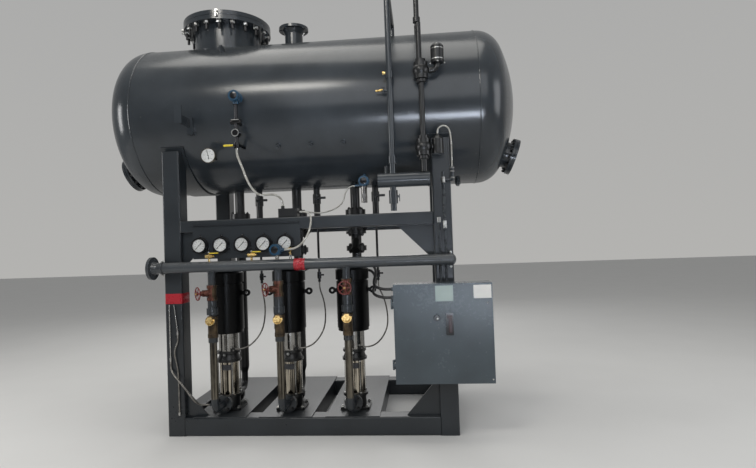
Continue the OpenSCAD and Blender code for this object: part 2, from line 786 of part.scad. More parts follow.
// Equalizing pipe: out of the tank's top, down its front, to a strainer and a drain valve.
module equalizer_pipe() {
    r = equalizer_od / 2;
    bend = 57;
    top = tank_z + tank_r;
    color(steel) {
        on_tank() translate([equalizer_x, 0, 0]) rod_z(top - 4, top + 34, r + 7);
        translate([equalizer_x, 0, 0]) {
            rod_z(top + 34, loop_z - bend, r);
            translate([0, 0, loop_z - bend]) bend_zy_minus(r, bend);
            translate([0, 0, loop_z]) rod_y(-front_pipe_y + bend, -bend, r);
        }
        translate([equalizer_x, -front_pipe_y, 0]) {
            translate([0, 0, loop_z - bend]) bend_zy(r, bend);
            rod_z(2258, loop_z - bend, r);
            rod_z(2884, 2940, r + 9);
            translate([0, 0, 2790]) rod_x(-46, 0, 10);
            translate([-54, 0, 2790]) rod_z(-20, 26, 12);
            rod_z(2200, 2258, r + 9);
            rod_z(cross_z + cross_od / 2 - 6, 2200, r + 2);
            rod_z(1985, cross_z - cross_od / 2 + 6, r);
            rod_z(1880, 1985, r + 11);
            rod_z(1822, 1880, r);
            translate([0, 0, 1935]) rod_x(0, 52, 9);
            translate([46, -8, 1895]) cube([6, 16, 60]);
            translate([0, 0, cross_z]) {
                rod_x(-118, column_x - equalizer_x + 42, cross_od / 2);
                translate([-70, 0, 0]) rod_y(0, 300, column_od / 2);
            }
            translate([-70, 300 + bend, cross_z + bend]) mirror([0, 0, 1]) bend_zy_minus(column_od / 2, bend);
        }
        on_tank() translate([equalizer_x - 70, -front_pipe_y + 300 + bend, 0]) rod_z(cross_z + bend, tank_z, column_od / 2);
    }
}

// Float column: loop from the tank's top, two float cages and the leg to the cross pipe.
module float_column() {
    r = column_od / 2;
    bend = 57;
    top = tank_z + tank_r;
    color(black) {
        on_tank() translate([column_x - 20, 0, 0]) rod_z(top - 4, top + 34, r + 7);
        translate([column_x - 20, 0, 0]) {
            rod_z(top + 34, loop_z - 14 - bend, r);
            translate([0, 0, loop_z - 14 - bend]) bend_zy_minus(r, bend);
            translate([0, 0, loop_z - 14]) rod_y(-front_pipe_y + bend, -bend, r);
        }
        translate([column_x, -front_pipe_y, 0]) {
            translate([-20, 0, loop_z - 14 - bend]) bend_zy(r, bend);
            translate([-20, 0, 0]) rod_z(3360, loop_z - 14 - bend, r);
            translate([-20, 0, 0]) rod_z(3320, 3360, r + 8);
            translate([-10, 0, 0]) rod_z(upper_cage_z + 84, 3320, r);
            float_cage(upper_cage_z);
            rod_z(lower_cage_z + 84, upper_cage_z - 84, r);
            float_cage(lower_cage_z);
            rod_z(cross_z + cross_od / 2 + seat, lower_cage_z - 84, r + 5);
        }
    }
}
// A cast float cage: round body between two bolted collars.
module float_cage(z) {
    translate([0, 0, z]) {
        rod_z(-92, -66, 40);
        rod_z(-66, 66, 56);
        sphere(66);
        rod_z(66, 92, 40);
    }
}

// Switch heads beside the float cages: the upper one stands on a bent arm, the lower one on a straight one.
switch_r = 52;
upper_switch = [134, 58];
lower_switch = [114, 22];

module float_switches() {
    arm_r = 21;
    bend = 50;
    color(black) translate([column_x, -front_pipe_y, upper_cage_z]) {
        rod_x(66.3, upper_switch[0] - bend, arm_r);
        translate([upper_switch[0] - bend, 0, bend]) rotate([90, 0, 0]) rotate([0, 0, -90])
            rotate_extrude(angle = 90) translate([bend, 0]) circle(arm_r);
        translate([upper_switch[0], 0, 0]) {
            rod_z(bend - 1, upper_switch[1], arm_r + 6);
            rod_z(upper_switch[1], upper_switch[1] + 130, switch_r);
            translate([0, 0, upper_switch[1] + 130]) cylinder(r1 = switch_r, r2 = switch_r - 14, h = 16);
        }
    }
    color(black) translate([column_x, -front_pipe_y, lower_cage_z]) {
        rod_x(66.3, lower_switch[0] - 20, arm_r);
        translate([lower_switch[0], 0, -58]) {
            rod_z(0, 118, switch_r - 8);
            translate([0, 0, 118]) cylinder(r1 = switch_r - 8, r2 = switch_r - 22, h = lower_switch[1]);
            rod_z(118 + lower_switch[1], 118 + lower_switch[1] + 20, 13);
        }
    }
}

// Level transmitter: two taps, a manifold pipe and the blue head above.
level_at = [-512, -762, 2384];

module level_transmitter() {
    x = level_at[0];
    y = level_at[1];
    color(stainless) {
        on_tank() for (z = [2420, 2600]) translate([x, 0, z]) rod_y(y, -tank_r * 0.7, 13);
        translate([x, y, 0]) rod_z(2392, 2752, 14);
        translate([x, y, 2600]) rod_x(-44, 44, 20);
        translate([x, y - 4, 2506]) rod_y(-26, 26, 32);
        translate(level_at) rod_z(0, 46, 22);
    }
    color(blue_paint) translate([x, y, 2806]) transmitter_head(76);
    color(blue_paint) translate([x, y, 0]) rod_z(2744, 2790, 24);
    color(stainless) translate([x, y - 40, 2401]) rod_y(-10, 34, 6);
    color(bronze) translate([x - 96, y - 50, 2396]) cube([104, 12, 8]);
}

// Transmitter under the tank: a block with its head above, fed by a pipe behind it.
tank_tx_at = [483, -395, 2074];
tank_tx_arm = 79;

module tank_transmitter() {
    x = tank_tx_at[0];
    y = tank_tx_at[1];
    behind = 76;
    color(stainless) {
        translate([x, y, 0]) rod_z(1925, 2090, 26);
        translate([x, y, 1980]) rod_y(-48, behind, 20);
        translate(tank_tx_at) rod_x(-tank_tx_arm, 0, 12);
        on_tank() translate([x, y + behind, 0]) rod_z(1966, tank_z, 13);
    }
    color(blue_paint) translate([x, y, 2112]) transmitter_head(60);
}

module tank_thermometer() {
    x = -786;
    z = 2349;
    color(stainless) translate([x, 0, z]) {
        translate([-x, 0, -z]) on_tank() translate([x, 0, z]) rod_y(-680, -tank_r * 0.6, 11);
        difference() {
            rod_y(-698, -668, thermo_od / 2);
            rod_y(-699, -692, thermo_od / 2 - 6);
        }
    }
}

jb_at = [-218, front_y + 6, mid_top + seat];
jb_size = [160, 84, 72];
gland_len = 18;
gland_ys = [20, 62];
gland_up = 40;
hub_x = 14 + 15;
hub_len = 24;

module junction_box() {
    color(black) translate(jb_at) {
        cube(jb_size);
        for (y = gland_ys) translate([jb_size[0], y, gland_up]) rod_x(-4, gland_len, 12);
        translate([hub_x, jb_size[1] / 2, jb_size[2]]) rod_z(-4, hub_len, 15);
    }
}

tube_a = [-col_x - 34, front_y - 9, 632];
tube_b = [-col_x + 34, front_y - 9, 852];
tube_top = 1108;
tube_slant = 27;

float_fitting = [col_x + post / 2 + 13, front_y - 20, 2165];
drain_end = [-col_x + 32, front_y - 9, 205];

// Rigid conduits on the right column down to the enclosure, and thin tubes on the left column.
module rigid_conduits() {
    y = front_y - 16;
    top = box_z + box_h + seat;
    long_x = col_x + 15;
    short_x = col_x - 31;
    turn_z = 2062;
    color(steel) {
        translate([long_x, y, 0]) rod_z(top, 2130, 10.5);
        translate([short_x, y, 0]) rod_z(top, 1740, 10.5);
        translate([long_x, y, 1700]) rod_z(-30, 30, 15);
        translate([short_x, y, 1740]) rod_z(-20, 20, 15);
        translate([0, y, turn_z]) rod_x(long_x, float_fitting[0], 12);
        translate([long_x, y, turn_z]) rod_z(-22, 22, 15);
        translate([float_fitting[0], y - 4, 0]) rod_z(turn_z - 14, float_fitting[2], 14.5);
    }
    color(stainless) {
        translate([tube_a[0], tube_a[1], 0]) rod_z(tube_a[2] + 22, tube_top, 5);
        translate([tube_a[0], tube_a[1], 0]) rod_z(tube_a[2], tube_a[2] + 28, 8.6);
        translate([tube_b[0] - tube_slant, tube_b[1], tube_top]) rotate([0, 180 - atan(tube_slant / (tube_top - tube_b[2] - 22)), 0])
            cylinder(r = 5, h = tube_top - tube_b[2] - 16);
        translate([tube_b[0], tube_b[1], 0]) rod_z(tube_b[2], tube_b[2] + 28, 8.6);
        translate([drain_end[0], drain_end[1], 0]) rod_z(drain_end[2] - 26, drain_end[2], 8.6);
    }
}

// Control enclosure

door_y = front_y - box_d;
hinge_x = box_x - hinge_off;
hinge_y = door_y + door_lip / 2;
knuckle_or = 8;
hinge_zs = [box_z + 150, box_z + box_h - 150];

module enclosure_body() {
    mouth = door_y + door_lip + door_gap;
    depth = front_y - mouth;
    color(slate) {
        difference() {
            translate([box_x, mouth, box_z]) cube([box_w, depth, box_h]);
            translate([box_x + sheet, mouth - 1, box_z + sheet])
                cube([box_w - 2 * sheet, depth - sheet + 1, box_h - 2 * sheet]);
        }
        for (p = [box_gland, upper_gland]) translate([0, p[1], p[2]]) rod_x(p[0], box_x + 1, cable_d / 2 + 4);
        for (z = hinge_zs) translate([hinge_x, hinge_y, z]) {
            rod_z(-38, 38, hinge_pin_d / 2);
            for (s = [-1, 1]) translate([0, 0, s * 26 - 12]) {
                rod_z(0, 24, knuckle_or);
                cube([knuckle_or - 1, mouth - hinge_y + 12, 24]);
                translate([0, mouth - hinge_y + 4, 0]) cube([hinge_off + 1, 8, 24]);
            }
        }
    }
}

module enclosure_door() {
    color(slate) {
        difference() {
            translate([box_x, door_y, box_z]) cube([box_w, door_lip, box_h]);
            translate([box_x + sheet, door_y + sheet, box_z + sheet])
                cube([box_w - 2 * sheet, door_lip, box_h - 2 * sheet]);
        }
        for (z = hinge_zs) translate([hinge_x, hinge_y, z]) {
            difference() {
                union() {
                    rod_z(-13.5, 13.5, knuckle_or);
                    translate([0, -knuckle_or, -13.5]) cube([hinge_off + 1, 6, 27]);
                }
                rod_z(-14, 14, hinge_pin_d / 2 + 0.1);
            }
        }
        translate([box_x + 398, door_y - 14, box_z + 372]) cube([62, 14.5, 179]);
        translate([box_x + 332, door_y, box_z + 511]) rod_y(-18, 0.5, 26);
    }
}

// Flexible conduits and hoses

cord_sides = 8;

// A smooth curve through hand-chosen points: Catmull-Rom, some steps between each two.
function spline(p, steps) = [
    for (i = [0 : len(p) - 2], j = [0 : steps - 1])
        let (t = j / steps, a = p[max(i - 1, 0)], b = p[i], c = p[i + 1], d = p[min(i + 2, len(p) - 1)])
            0.5 * (2 * b + (c - a) * t + (2 * a - 5 * b + 4 * c - d) * t * t + (3 * b - a - 3 * c + d) * t * t * t),
    p[len(p) - 1]
];
function unit(v) = v / norm(v);

// Sweeps a round tube along a path as one closed polyhedron.
module cord(points, d, steps = 1) {
    path = spline(points, steps);
    n = len(path);
    rings = [
        for (i = [0 : n - 1])
            let (t = unit(path[min(i + 1, n - 1)] - path[max(i - 1, 0)]), u = unit(cross(t, [0.31, 0.87, 0.12])), v = cross(t, u))
                for (k = [0 : cord_sides - 1])
                    path[i] + d / 2 * (cos(k * 360 / cord_sides) * u + sin(k * 360 / cord_sides) * v)
    ];
    sides = [
        for (i = [0 : n - 2], k = [0 : cord_sides - 1])
            let (a = i * cord_sides + k, b = i * cord_sides + (k + 1) % cord_sides)
                each [[a, b, a + cord_sides], [b, b + cord_sides, a + cord_sides]]
    ];
    first = [for (k = [cord_sides - 1 : -1 : 0]) k];
    last = [for (k = [0 : cord_sides - 1]) (n - 1) * cord_sides + k];
    polyhedron(rings, concat(sides, [first], [last]), convexity = 6);
}

jb_top = jb_at + [hub_x, jb_size[1] / 2, jb_size[2] + hub_len];
jb_gland_a = jb_at + [jb_size[0] + gland_len, gland_ys[0], gland_up];
jb_gland_b = jb_at + [jb_size[0] + gland_len, gland_ys[1], gland_up];
float_top = [column_x + lower_switch[0], -front_pipe_y, lower_cage_z - 58 + 138 + lower_switch[1]];
vent_z = pad_top + sleeve_z + sleeve_len + vent_up;
vent_start = [vent_at[0] + vent_reach, vent_at[1], 0];
bypass_foot = [bypass_off, pump_y, bypass_foot_z - vent_z];
nipple_end = [pump_xs[0] - nipple_reach, header_y + 120, port_z + 14];

level_route = [level_at, level_at + [0, 0, -30], [-480, -768, 2250], [-432, -756, 2114],
    [-344, -711, 1999], [-259, -651, 2004], [-201, -606, 1968], jb_top + [0, 0, 16], jb_top];
header_route = [jb_gland_a, jb_gland_a + [22, 0, 0], [51, -653, 1828], [68, -700, 1750],
    [40, -745, 1640], [-30, -746, 1566], header_tx_at + [header_tx_arm + 30, 0, 0], header_tx_at + [header_tx_arm, 0, 0]];
transmitter_route = [jb_gland_b, jb_gland_b + [30, 0, 0], [100, -545, 1842], [205, -500, 1862],
    [301, -452, 1935], [338, -408, 2047], tank_tx_at + [-tank_tx_arm - 16, 0, 0], tank_tx_at + [-tank_tx_arm, 0, 0]];
float_route = [float_top, float_top + [0, 0, 14], [1136, -746, 2468], [1170, -748, 2482], [1204, -748, 2467],
    [1221, -744, 2425], [1230, -720, 2310], float_fitting + [0, 0, 30], float_fitting];
vent_shape = [vent_start, vent_start + [30, 0, 0], [190, -45, 14], [245, 5, 60], [284, 65, 135],
    [290, 130, 215], [274, 210, 305], [228, 320, 414], bypass_foot - [0, 0, 32], bypass_foot];
flush_route = [tube_a, tube_a + [0, 0, -40], [-1118, -687, 503], [-1033, -706, 416], [-969, -680, 309],
    [-927, -612, 254], nipple_end + [-20, 0, 0], nipple_end];
drain_route = [tube_b, tube_b + [0, 0, -36], [-1132, -662, 735], [-1124, -656, 610], [-1112, -654, 440],
    drain_end + [0, 0, 60], drain_end];
cable_d = 24;
box_gland = [box_x - 22, front_y - 85, 1130];
upper_gland = box_gland + [0, 50, 62];
cable_right_route = [motor_gland(2), motor_gland(2) + [0, 0, 30], [395, -206, 1292], [500, -300, 1330],
    [561, -440, 1250], [574, -666, 1149], box_gland + [-30, 0, 0], box_gland];
cable_middle_route = [motor_gland(1), motor_gland(1) + [0, 0, 30], [-150, -205, 1320], [30, -200, 1385],
    [320, -185, 1402], [490, -245, 1386], [561, -420, 1310], [582, -625, 1209], upper_gland + [-30, 0, 0], upper_gland];

module conduit_level() { color(grey_hose) cord(level_route, 18); }
module conduit_header() { color(grey_hose) cord(header_route, 16); }
module conduit_transmitter() { color(grey_hose) cord(transmitter_route, 12); }
module conduit_float() { color(grey_hose) cord(float_route, 12); }
module vent_hose(i) {
    color(grey_hose) cord([for (p = vent_shape) p + [pump_xs[i], -pump_y, vent_z]], 13);
}
module vent_hose_left() { vent_hose(0); }
module vent_hose_middle() { vent_hose(1); }
module vent_hose_right() { vent_hose(2); }
module flush_hose() { color(grey_hose) cord(flush_route, 14); }
module drain_hose() { color(grey_hose) cord(drain_route, 12); }
module motor_cable_middle() { color(black) cord(cable_middle_route, cable_d); }
module motor_cable_right() { color(black) cord(cable_right_route, cable_d); }

column_front_left();
column_front_right();
rear_columns();
base_front_beam();
base_rear_beam();
base_side_beams();
mid_front_beam();
mid_rear_beam();
mid_side_beams();
cross_channels();
pump_plates();
saddles();
tank_shell();
tank_head_left();
tank_head_right();
dome_neck();
dome_cover();
vent_nozzle();
handholes();
tank_fittings();
pump_bases();
pump_sleeves();
pump_heads();
pump_motors();
suction_drops();
bypass_lines();
riser_pipes();
riser_valves();
handwheel_left();
handwheel_middle();
handwheel_right();
discharge_header();
gauge_board();
pressure_gauges();
small_cocks();
header_transmitter();
equalizer_pipe();
float_column();
float_switches();
level_transmitter();
tank_transmitter();
tank_thermometer();
junction_box();
rigid_conduits();
enclosure_body();
enclosure_door();
conduit_level();
conduit_header();
conduit_transmitter();
conduit_float();
vent_hose_left();
vent_hose_middle();
vent_hose_right();
flush_hose();
drain_hose();
motor_cable_middle();
motor_cable_right();
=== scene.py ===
"""Boiler feedwater deaerator skid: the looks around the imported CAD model, in metres.
X runs along the tank, -Y faces the pumps' side, Z = 0 is the floor."""
import math
import bmesh
import bpy
import numpy as np
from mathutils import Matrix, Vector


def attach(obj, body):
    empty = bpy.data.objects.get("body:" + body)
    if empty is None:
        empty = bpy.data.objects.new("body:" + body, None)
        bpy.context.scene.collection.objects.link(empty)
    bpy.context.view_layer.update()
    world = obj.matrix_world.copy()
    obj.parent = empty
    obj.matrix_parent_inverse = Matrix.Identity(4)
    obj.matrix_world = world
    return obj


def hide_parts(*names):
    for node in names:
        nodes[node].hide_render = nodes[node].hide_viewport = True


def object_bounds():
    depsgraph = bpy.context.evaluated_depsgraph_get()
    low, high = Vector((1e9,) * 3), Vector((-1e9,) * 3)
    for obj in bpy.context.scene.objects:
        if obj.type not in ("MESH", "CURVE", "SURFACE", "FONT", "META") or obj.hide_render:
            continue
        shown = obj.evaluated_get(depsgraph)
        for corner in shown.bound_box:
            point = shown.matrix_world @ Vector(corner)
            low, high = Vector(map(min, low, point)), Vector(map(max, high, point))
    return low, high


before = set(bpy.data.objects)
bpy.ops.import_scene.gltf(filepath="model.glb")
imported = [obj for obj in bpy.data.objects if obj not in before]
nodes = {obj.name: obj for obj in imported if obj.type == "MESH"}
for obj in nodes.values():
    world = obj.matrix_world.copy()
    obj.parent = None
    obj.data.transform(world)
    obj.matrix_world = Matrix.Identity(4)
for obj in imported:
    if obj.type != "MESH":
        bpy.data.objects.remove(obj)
cad_box = [list(map(float, corner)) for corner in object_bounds()]
scene = bpy.context.scene
scene.view_settings.view_transform = "Standard"

# Camera
# It stands about 4.2 m in front of the skid, to the right of its middle, at a person's eye height,
# turned a little to the left and rolled a little, as the picture was taken.

camera_at = (0.9695, -4.853, 1.5599)
yaw, pitch, roll = (math.radians(a) for a in (4.854, 1.124, 1.992))


def turn(axis, angle):
    """A rotation matrix about one axis: cosines on the diagonal of the other two, sines off it."""
    c, s = math.cos(angle), math.sin(angle)
    i, j = [(1, 2), (2, 0), (0, 1)][axis]
    m = np.eye(3)
    m[i, i] = m[j, j] = c
    m[i, j], m[j, i] = -s, s
    return m


def stand(thing, *columns):
    """Places an object: the directions of its own X, Y and Z, then its place, are its matrix's columns."""
    matrix = np.eye(4)
    matrix[:3] = np.column_stack(columns)
    thing.matrix_world = matrix.T.tolist()
    scene.collection.objects.link(thing)


aim = turn(2, yaw) @ turn(0, pitch) @ turn(1, roll)
lens = bpy.data.cameras.new("camera")
lens.sensor_width = 36
lens.lens = 24.548
camera = bpy.data.objects.new("camera", lens)
stand(camera, aim[:, 0], aim[:, 2], -aim[:, 1], camera_at)
scene.camera = camera

# Hoses and flexible conduits
# Grey ribbed conduit between instruments and the junction box, braided hoses on pumps and column,
# and black motor cables. Each one is a round tube swept from one fitting to the other.


class Wire:
    """A shader socket that takes part in Python expressions: every operator adds one Math node."""

    def __init__(self, tree, socket=None):
        self.tree, self.socket = tree, socket

    def node(self, kind, settings=None, sockets=None, out=0):
        """Adds any node: its type, its settings first, then its sockets' values or links; gives one output."""
        made = self.tree.nodes.new("ShaderNode" + kind)
        for key, value in (settings or {}).items():
            setattr(made, key, value)
        for key, value in (sockets or {}).items():
            if isinstance(value, Wire):
                self.tree.links.new(value.socket, made.inputs[key])
            else:
                made.inputs[key].default_value = value
        return Wire(self.tree, made.outputs[out])

    def math(self, operation, *values):
        return self.node("Math", {"operation": operation}, dict(enumerate(values)))

    def __add__(self, other): return self.math("ADD", self, other)
    def __sub__(self, other): return self.math("SUBTRACT", self, other)
    def __rsub__(self, other): return self.math("SUBTRACT", other, self)
    def __mul__(self, other): return self.math("MULTIPLY", self, other)
    def __gt__(self, other): return self.math("GREATER_THAN", self, other)
    def __lt__(self, other): return self.math("LESS_THAN", self, other)
    __radd__, __rmul__ = __add__, __mul__

    def between(self, low, high):
        """0 below low, 1 above high, an even slope between them."""
        return self.node("MapRange", {"clamp": True}, {0: self, 1: low, 2: high})

    def mix(self, first, second):
        """First colour where this mask is 0, second where it is 1."""
        rgba = [c if isinstance(c, Wire) else (*c, 1) for c in (first, second)]
        return self.node("Mix", {"data_type": "RGBA"}, {0: self, 6: rgba[0], 7: rgba[1]}, out=2)

    def axis(self, index):
        """One of a vector's three numbers."""
        return self.node("SeparateXYZ", sockets={0: self}, out=index)

    def noise(self, scale, detail=4.0):
        """Cloudy noise on this vector, from 0 to 1."""
        return self.node("TexNoise", sockets={"Vector": self, "Scale": scale, "Detail": detail})

    def bump(self, strength, distance):
        """A bumped normal from this height."""
        return self.node("Bump", sockets={"Strength": strength, "Distance": distance, "Height": self})


def new_material(name):
    """An empty node material: gives it, its Object coordinates, and a function that wires the surface."""
    material = bpy.data.materials.new(name)
    material.use_nodes = True
    tree = material.node_tree
    tree.nodes.clear()
    place = Wire(tree).node("TexCoord", out=3)

    def surface(**sockets):
        shader = place.node("BsdfPrincipled", sockets={k.replace("_", " "): v for k, v in sockets.items()})
        output = tree.nodes.new("ShaderNodeOutputMaterial")
        tree.links.new(shader.socket, output.inputs[0])

    return material, place, surface


def hose_material(name, colour, dark, ribs, metallic, rough, braid=0):
    """Rings along the hose: half a sine of its length. A braid multiplies the sines of length plus
    girth and of length less girth. The troughs of both are painted darker, as shade in the creases."""
    material, place, surface = new_material(name)
    uv = place.node("UVMap", {"uv_map": "along"})
    along, girth = uv.axis(0) * (2 * math.pi * ribs), uv.axis(1) * (2 * math.pi * max(braid, 1))
    if braid:
        relief = (along + girth).math("SINE") * (along - girth).math("SINE") * 0.5 + 0.5
    else:
        relief = along.math("SINE") * 0.5 + 0.5
    cloud = place.noise(40.0)
    # Dark in the troughs, pale on the crests: painted shade in the creases of the rings and braid; on the braid
    # the dark is partly the hose between the wires. Random clouds over it.
    crease_shade_and_clouds = cloud.between(0.35, 0.7) * 0.5 + relief * 0.5
    surface(Base_Color=crease_shade_and_clouds.mix(dark, colour), Roughness=rough + cloud * 0.2, Metallic=metallic,
            Normal=relief.bump(0.6, 0.001))
    return material


def mesh_piece(name, part, material, body="skid", sharp=35, uv=None):
    """A piece from vertices and faces: doubles merged, faces turned outwards, smooth but for sharp edges.
    A weld bead on the skid's outermost face is flattened into it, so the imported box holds."""
    mesh = bpy.data.meshes.new(name)
    inside = np.clip(np.asarray(part[0], float), *cad_box)
    mesh.from_pydata(inside.tolist(), [], [tuple(map(int, face)) for face in part[1]])
    if uv is not None:
        layer = mesh.uv_layers.new(name="along")
        corners = np.zeros(len(mesh.loops), np.int32)
        mesh.loops.foreach_get("vertex_index", corners)
        layer.data.foreach_set("uv", np.asarray(uv, np.float32)[corners].ravel())
    shell = bmesh.new()
    shell.from_mesh(mesh)
    bmesh.ops.remove_doubles(shell, verts=shell.verts, dist=1e-6)
    bmesh.ops.recalc_face_normals(shell, faces=shell.faces)
    shell.to_mesh(mesh)
    shell.free()
    mesh.shade_smooth()
    mesh.set_sharp_from_angle(angle=math.radians(sharp))
    mesh.materials.append(material)
    piece = bpy.data.objects.new(name, mesh)
    scene.collection.objects.link(piece)
    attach(piece, body)
    return piece


def hose_route(points, step=0.012):
    """Straight first and last legs; between them a cubic through the points whose slopes come from one
    tridiagonal system, so that its bend is continuous."""
    p = np.asarray(points, float) / 1000
    a = p[1:-1]
    h = np.linalg.norm(np.diff(a, axis=0), axis=1)
    rows = np.arange(1, len(a) - 1)
    m = np.zeros((len(a), len(a)))
    m[0, 0] = m[-1, -1] = 1
    m[rows, rows - 1], m[rows, rows], m[rows, rows + 1] = h[1:], 2 * (h[:-1] + h[1:]), h[:-1]
    ratio = (h[1:] / h[:-1])[:, None]
    leg = np.diff(a, axis=0)
    ends = [(v / np.linalg.norm(v))[None] for v in (p[1] - p[0], p[-1] - p[-2])]
    slope = np.linalg.solve(m, np.vstack([ends[0], 3 * (ratio * leg[:-1] + leg[1:] / ratio), ends[1]]))
    place = np.linspace(0, h.sum(), int(h.sum() / step) + 1)[:-1]
    start = np.concatenate([[0], np.cumsum(h)])
    k = np.searchsorted(start, place, side="right") - 1
    t, n = ((place - start[k]) / h[k])[:, None], h[k][:, None]
    curve = ((2 * t ** 3 - 3 * t ** 2 + 1) * a[k] + (t ** 3 - 2 * t ** 2 + t) * n * slope[k]
             + (3 * t ** 2 - 2 * t ** 3) * a[k + 1] + (t ** 3 - t ** 2) * n * slope[k + 1])
    return np.vstack([p[0], curve, a[-1], p[-1]])


def tube_grid(path, radius, sides):
    """Circles square to the path: point plus radius times (cosine along one normal plus sine along the
    other). The first normal is square to the path and to a lean that no path here follows."""
    way = np.gradient(path, axis=0)
    way /= np.linalg.norm(way, axis=1, keepdims=True)
    lean = (0.31, 0.87, 0.12)
    first = np.cross(way, lean)
    first /= np.linalg.norm(first, axis=1, keepdims=True)
    second = np.cross(way, first)[:, None]
    angle = np.linspace(0, 2 * math.pi, sides, endpoint=False)[None, :, None]
    radius = np.broadcast_to(np.asarray(radius, float), len(path))[:, None, None]
    return path[:, None] + radius * (np.cos(angle) * first[:, None] + np.sin(angle) * second)


def grid_faces(rows, sides, closed=False):
    """Quads between neighbouring rings; the last ring joins the first when closed, else each end gets a face."""
    i, j = np.meshgrid(np.arange(rows if closed else rows - 1), np.arange(sides), indexing="ij")
    up, side = (i + 1) % rows, (j + 1) % sides
    quads = np.stack([i * sides + j, i * sides + side, up * sides + side, up * sides + j], -1).reshape(-1, 4)
    faces = [tuple(q) for q in quads]
    if not closed:
        faces += [tuple(range(sides))[::-1], tuple(range((rows - 1) * sides, rows * sides))]
    return faces


def run_along(path):
    """How far each point of a path is from its start, along the path."""
    return np.concatenate([[0], np.cumsum(np.linalg.norm(np.diff(path, axis=0), axis=1))])


def hose(name, node, points, diameter, material):
    """A hose through the given points, from one fitting to the other; its UV map runs along its length."""
    path, sides = hose_route(points), 16
    run = run_along(path)
    uv = np.stack(np.broadcast_arrays(run[:, None], np.arange(sides)[None, :] / sides), -1).reshape(-1, 2)
    part = tube_grid(path, diameter / 2, sides).reshape(-1, 3), grid_faces(len(path), sides)
    piece = mesh_piece(name, part, material, uv=uv)
    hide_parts(node)


grey_conduit = hose_material("grey ribbed conduit", (0.47, 0.455, 0.41), (0.2, 0.195, 0.18),
                             ribs=260, metallic=0.0, rough=0.4)
braided = hose_material("braided hose", (0.36, 0.34, 0.31), (0.05, 0.048, 0.045),
                        ribs=210, metallic=0.75, rough=0.3, braid=6)
cable_jacket = hose_material("motor cable jacket", (0.03, 0.03, 0.032), (0.006, 0.006, 0.006),
                             ribs=130, metallic=0.0, rough=0.22)

hose("level_conduit", "conduit_level", [
    (-512, -762, 2384), (-512, -762, 2354), (-480, -768, 2250), (-432, -756, 2114), (-344, -711, 1999),
    (-259, -651, 2004), (-201, -606, 1968), (-189, -597, 1924.3), (-189, -597, 1908.3)], 0.018, grey_conduit)
hose("header_conduit", "conduit_header", [
    (-40, -619, 1852.3), (-18, -619, 1852.3), (51, -653, 1828), (68, -700, 1750), (40, -745, 1640),
    (-30, -746, 1566), (-116, -746, 1542.45), (-146, -746, 1542.45)], 0.016, grey_conduit)
hose("transmitter_conduit", "conduit_transmitter", [
    (-40, -577, 1852.3), (-10, -577, 1852.3), (100, -545, 1842), (205, -500, 1862), (301, -452, 1935),
    (338, -408, 2047), (388, -395, 2074), (404, -395, 2074)], 0.012, grey_conduit)
hose("float_conduit", "conduit_float", [
    (1122, -745, 2420), (1122, -745, 2434), (1136, -746, 2468), (1170, -748, 2482), (1204, -748, 2467),
    (1221, -744, 2425), (1230, -720, 2310), (1232, -665, 2195), (1232, -665, 2165)], 0.012, grey_conduit)
sides_of_three, pump_xs, pump_y, vent_z = ("left", "middle", "right"), (-774, -212, 350), -385, 690
for side, pump_x in zip(sides_of_three, pump_xs):
    hose("bleed_hose_" + side, "vent_hose_" + side, [(pump_x + x, pump_y + y, vent_z + z) for x, y, z in [
        (88, -80, 0), (118, -80, 0), (190, -45, 14), (245, 5, 60), (284, 65, 135), (290, 130, 215),
        (274, 210, 305), (228, 320, 414), (195, 385, 500), (195, 385, 532)]], 0.013, braided)
hose("flush_line", "flush_hose", [
    (-1177, -654, 632), (-1177, -654, 592), (-1118, -687, 503), (-1033, -706, 416), (-969, -680, 309),
    (-927, -612, 254), (-890, -600, 250), (-870, -600, 250)], 0.014, braided)
hose("drain_line", "drain_hose", [
    (-1109, -654, 852), (-1109, -654, 816), (-1132, -662, 735), (-1124, -656, 610), (-1112, -654, 440),
    (-1111, -654, 265), (-1111, -654, 205)], 0.012, braided)
hose("cable_right", "motor_cable_right", [
    (334.922, -212.658, 1132), (334.922, -212.658, 1162), (395, -206, 1292), (500, -300, 1330),
    (561, -440, 1250), (574, -666, 1149), (678, -730, 1130), (708, -730, 1130)], 0.024, cable_jacket)
hose("cable_middle", "motor_cable_middle", [
    (-227.078, -212.658, 1132), (-227.078, -212.658, 1162), (-150, -205, 1320), (30, -200, 1385),
    (320, -185, 1402), (490, -245, 1386), (561, -420, 1310), (582, -625, 1209), (678, -680, 1192),
    (708, -680, 1192)], 0.024, cable_jacket)

# Floor and light
# A plain pale floor, a room that is pale behind the skid and dimmer in front of it, and seven soft
# boxes: one high in front for the tank's long highlight, a low narrow one, a wide one, one at each
# side, one overhead and one behind.

floor_material, place, surface = new_material("pale floor")
surface(Base_Color=place.noise(1.5, 3.0).mix((0.62, 0.615, 0.6), (0.66, 0.655, 0.64)), Roughness=0.75)
reach, floor_gap = 30, 0.001
floor_mesh = bpy.data.meshes.new("floor")
floor_mesh.from_pydata([(-reach, -reach, 0), (reach, -reach, 0), (reach, reach, 0), (-reach, reach, 0)],
                       [], [(0, 1, 2, 3)])
floor_mesh.materials.append(floor_material)
floor = bpy.data.objects.new("floor", floor_mesh)
floor.location.z = -floor_gap
scene.collection.objects.link(floor)

world = bpy.data.worlds.new("studio")
world.use_nodes = True
scene.world = world
world.node_tree.nodes.clear()
toward = Wire(world.node_tree).node("TexCoord", out=0)
front_grey, back_grey, top_grey = (0.13, 0.135, 0.14), (0.46, 0.455, 0.44), (0.36, 0.365, 0.37)
around = toward.axis(1).between(-0.5, 0.5).mix(front_grey, back_grey)
shade = toward.axis(2).between(-0.1, 0.95).mix(around, top_grey)
background = toward.node("Background", sockets={0: shade, 1: 1.0})
output = world.node_tree.nodes.new("ShaderNodeOutputWorld")
world.node_tree.links.new(background.socket, output.inputs[0])

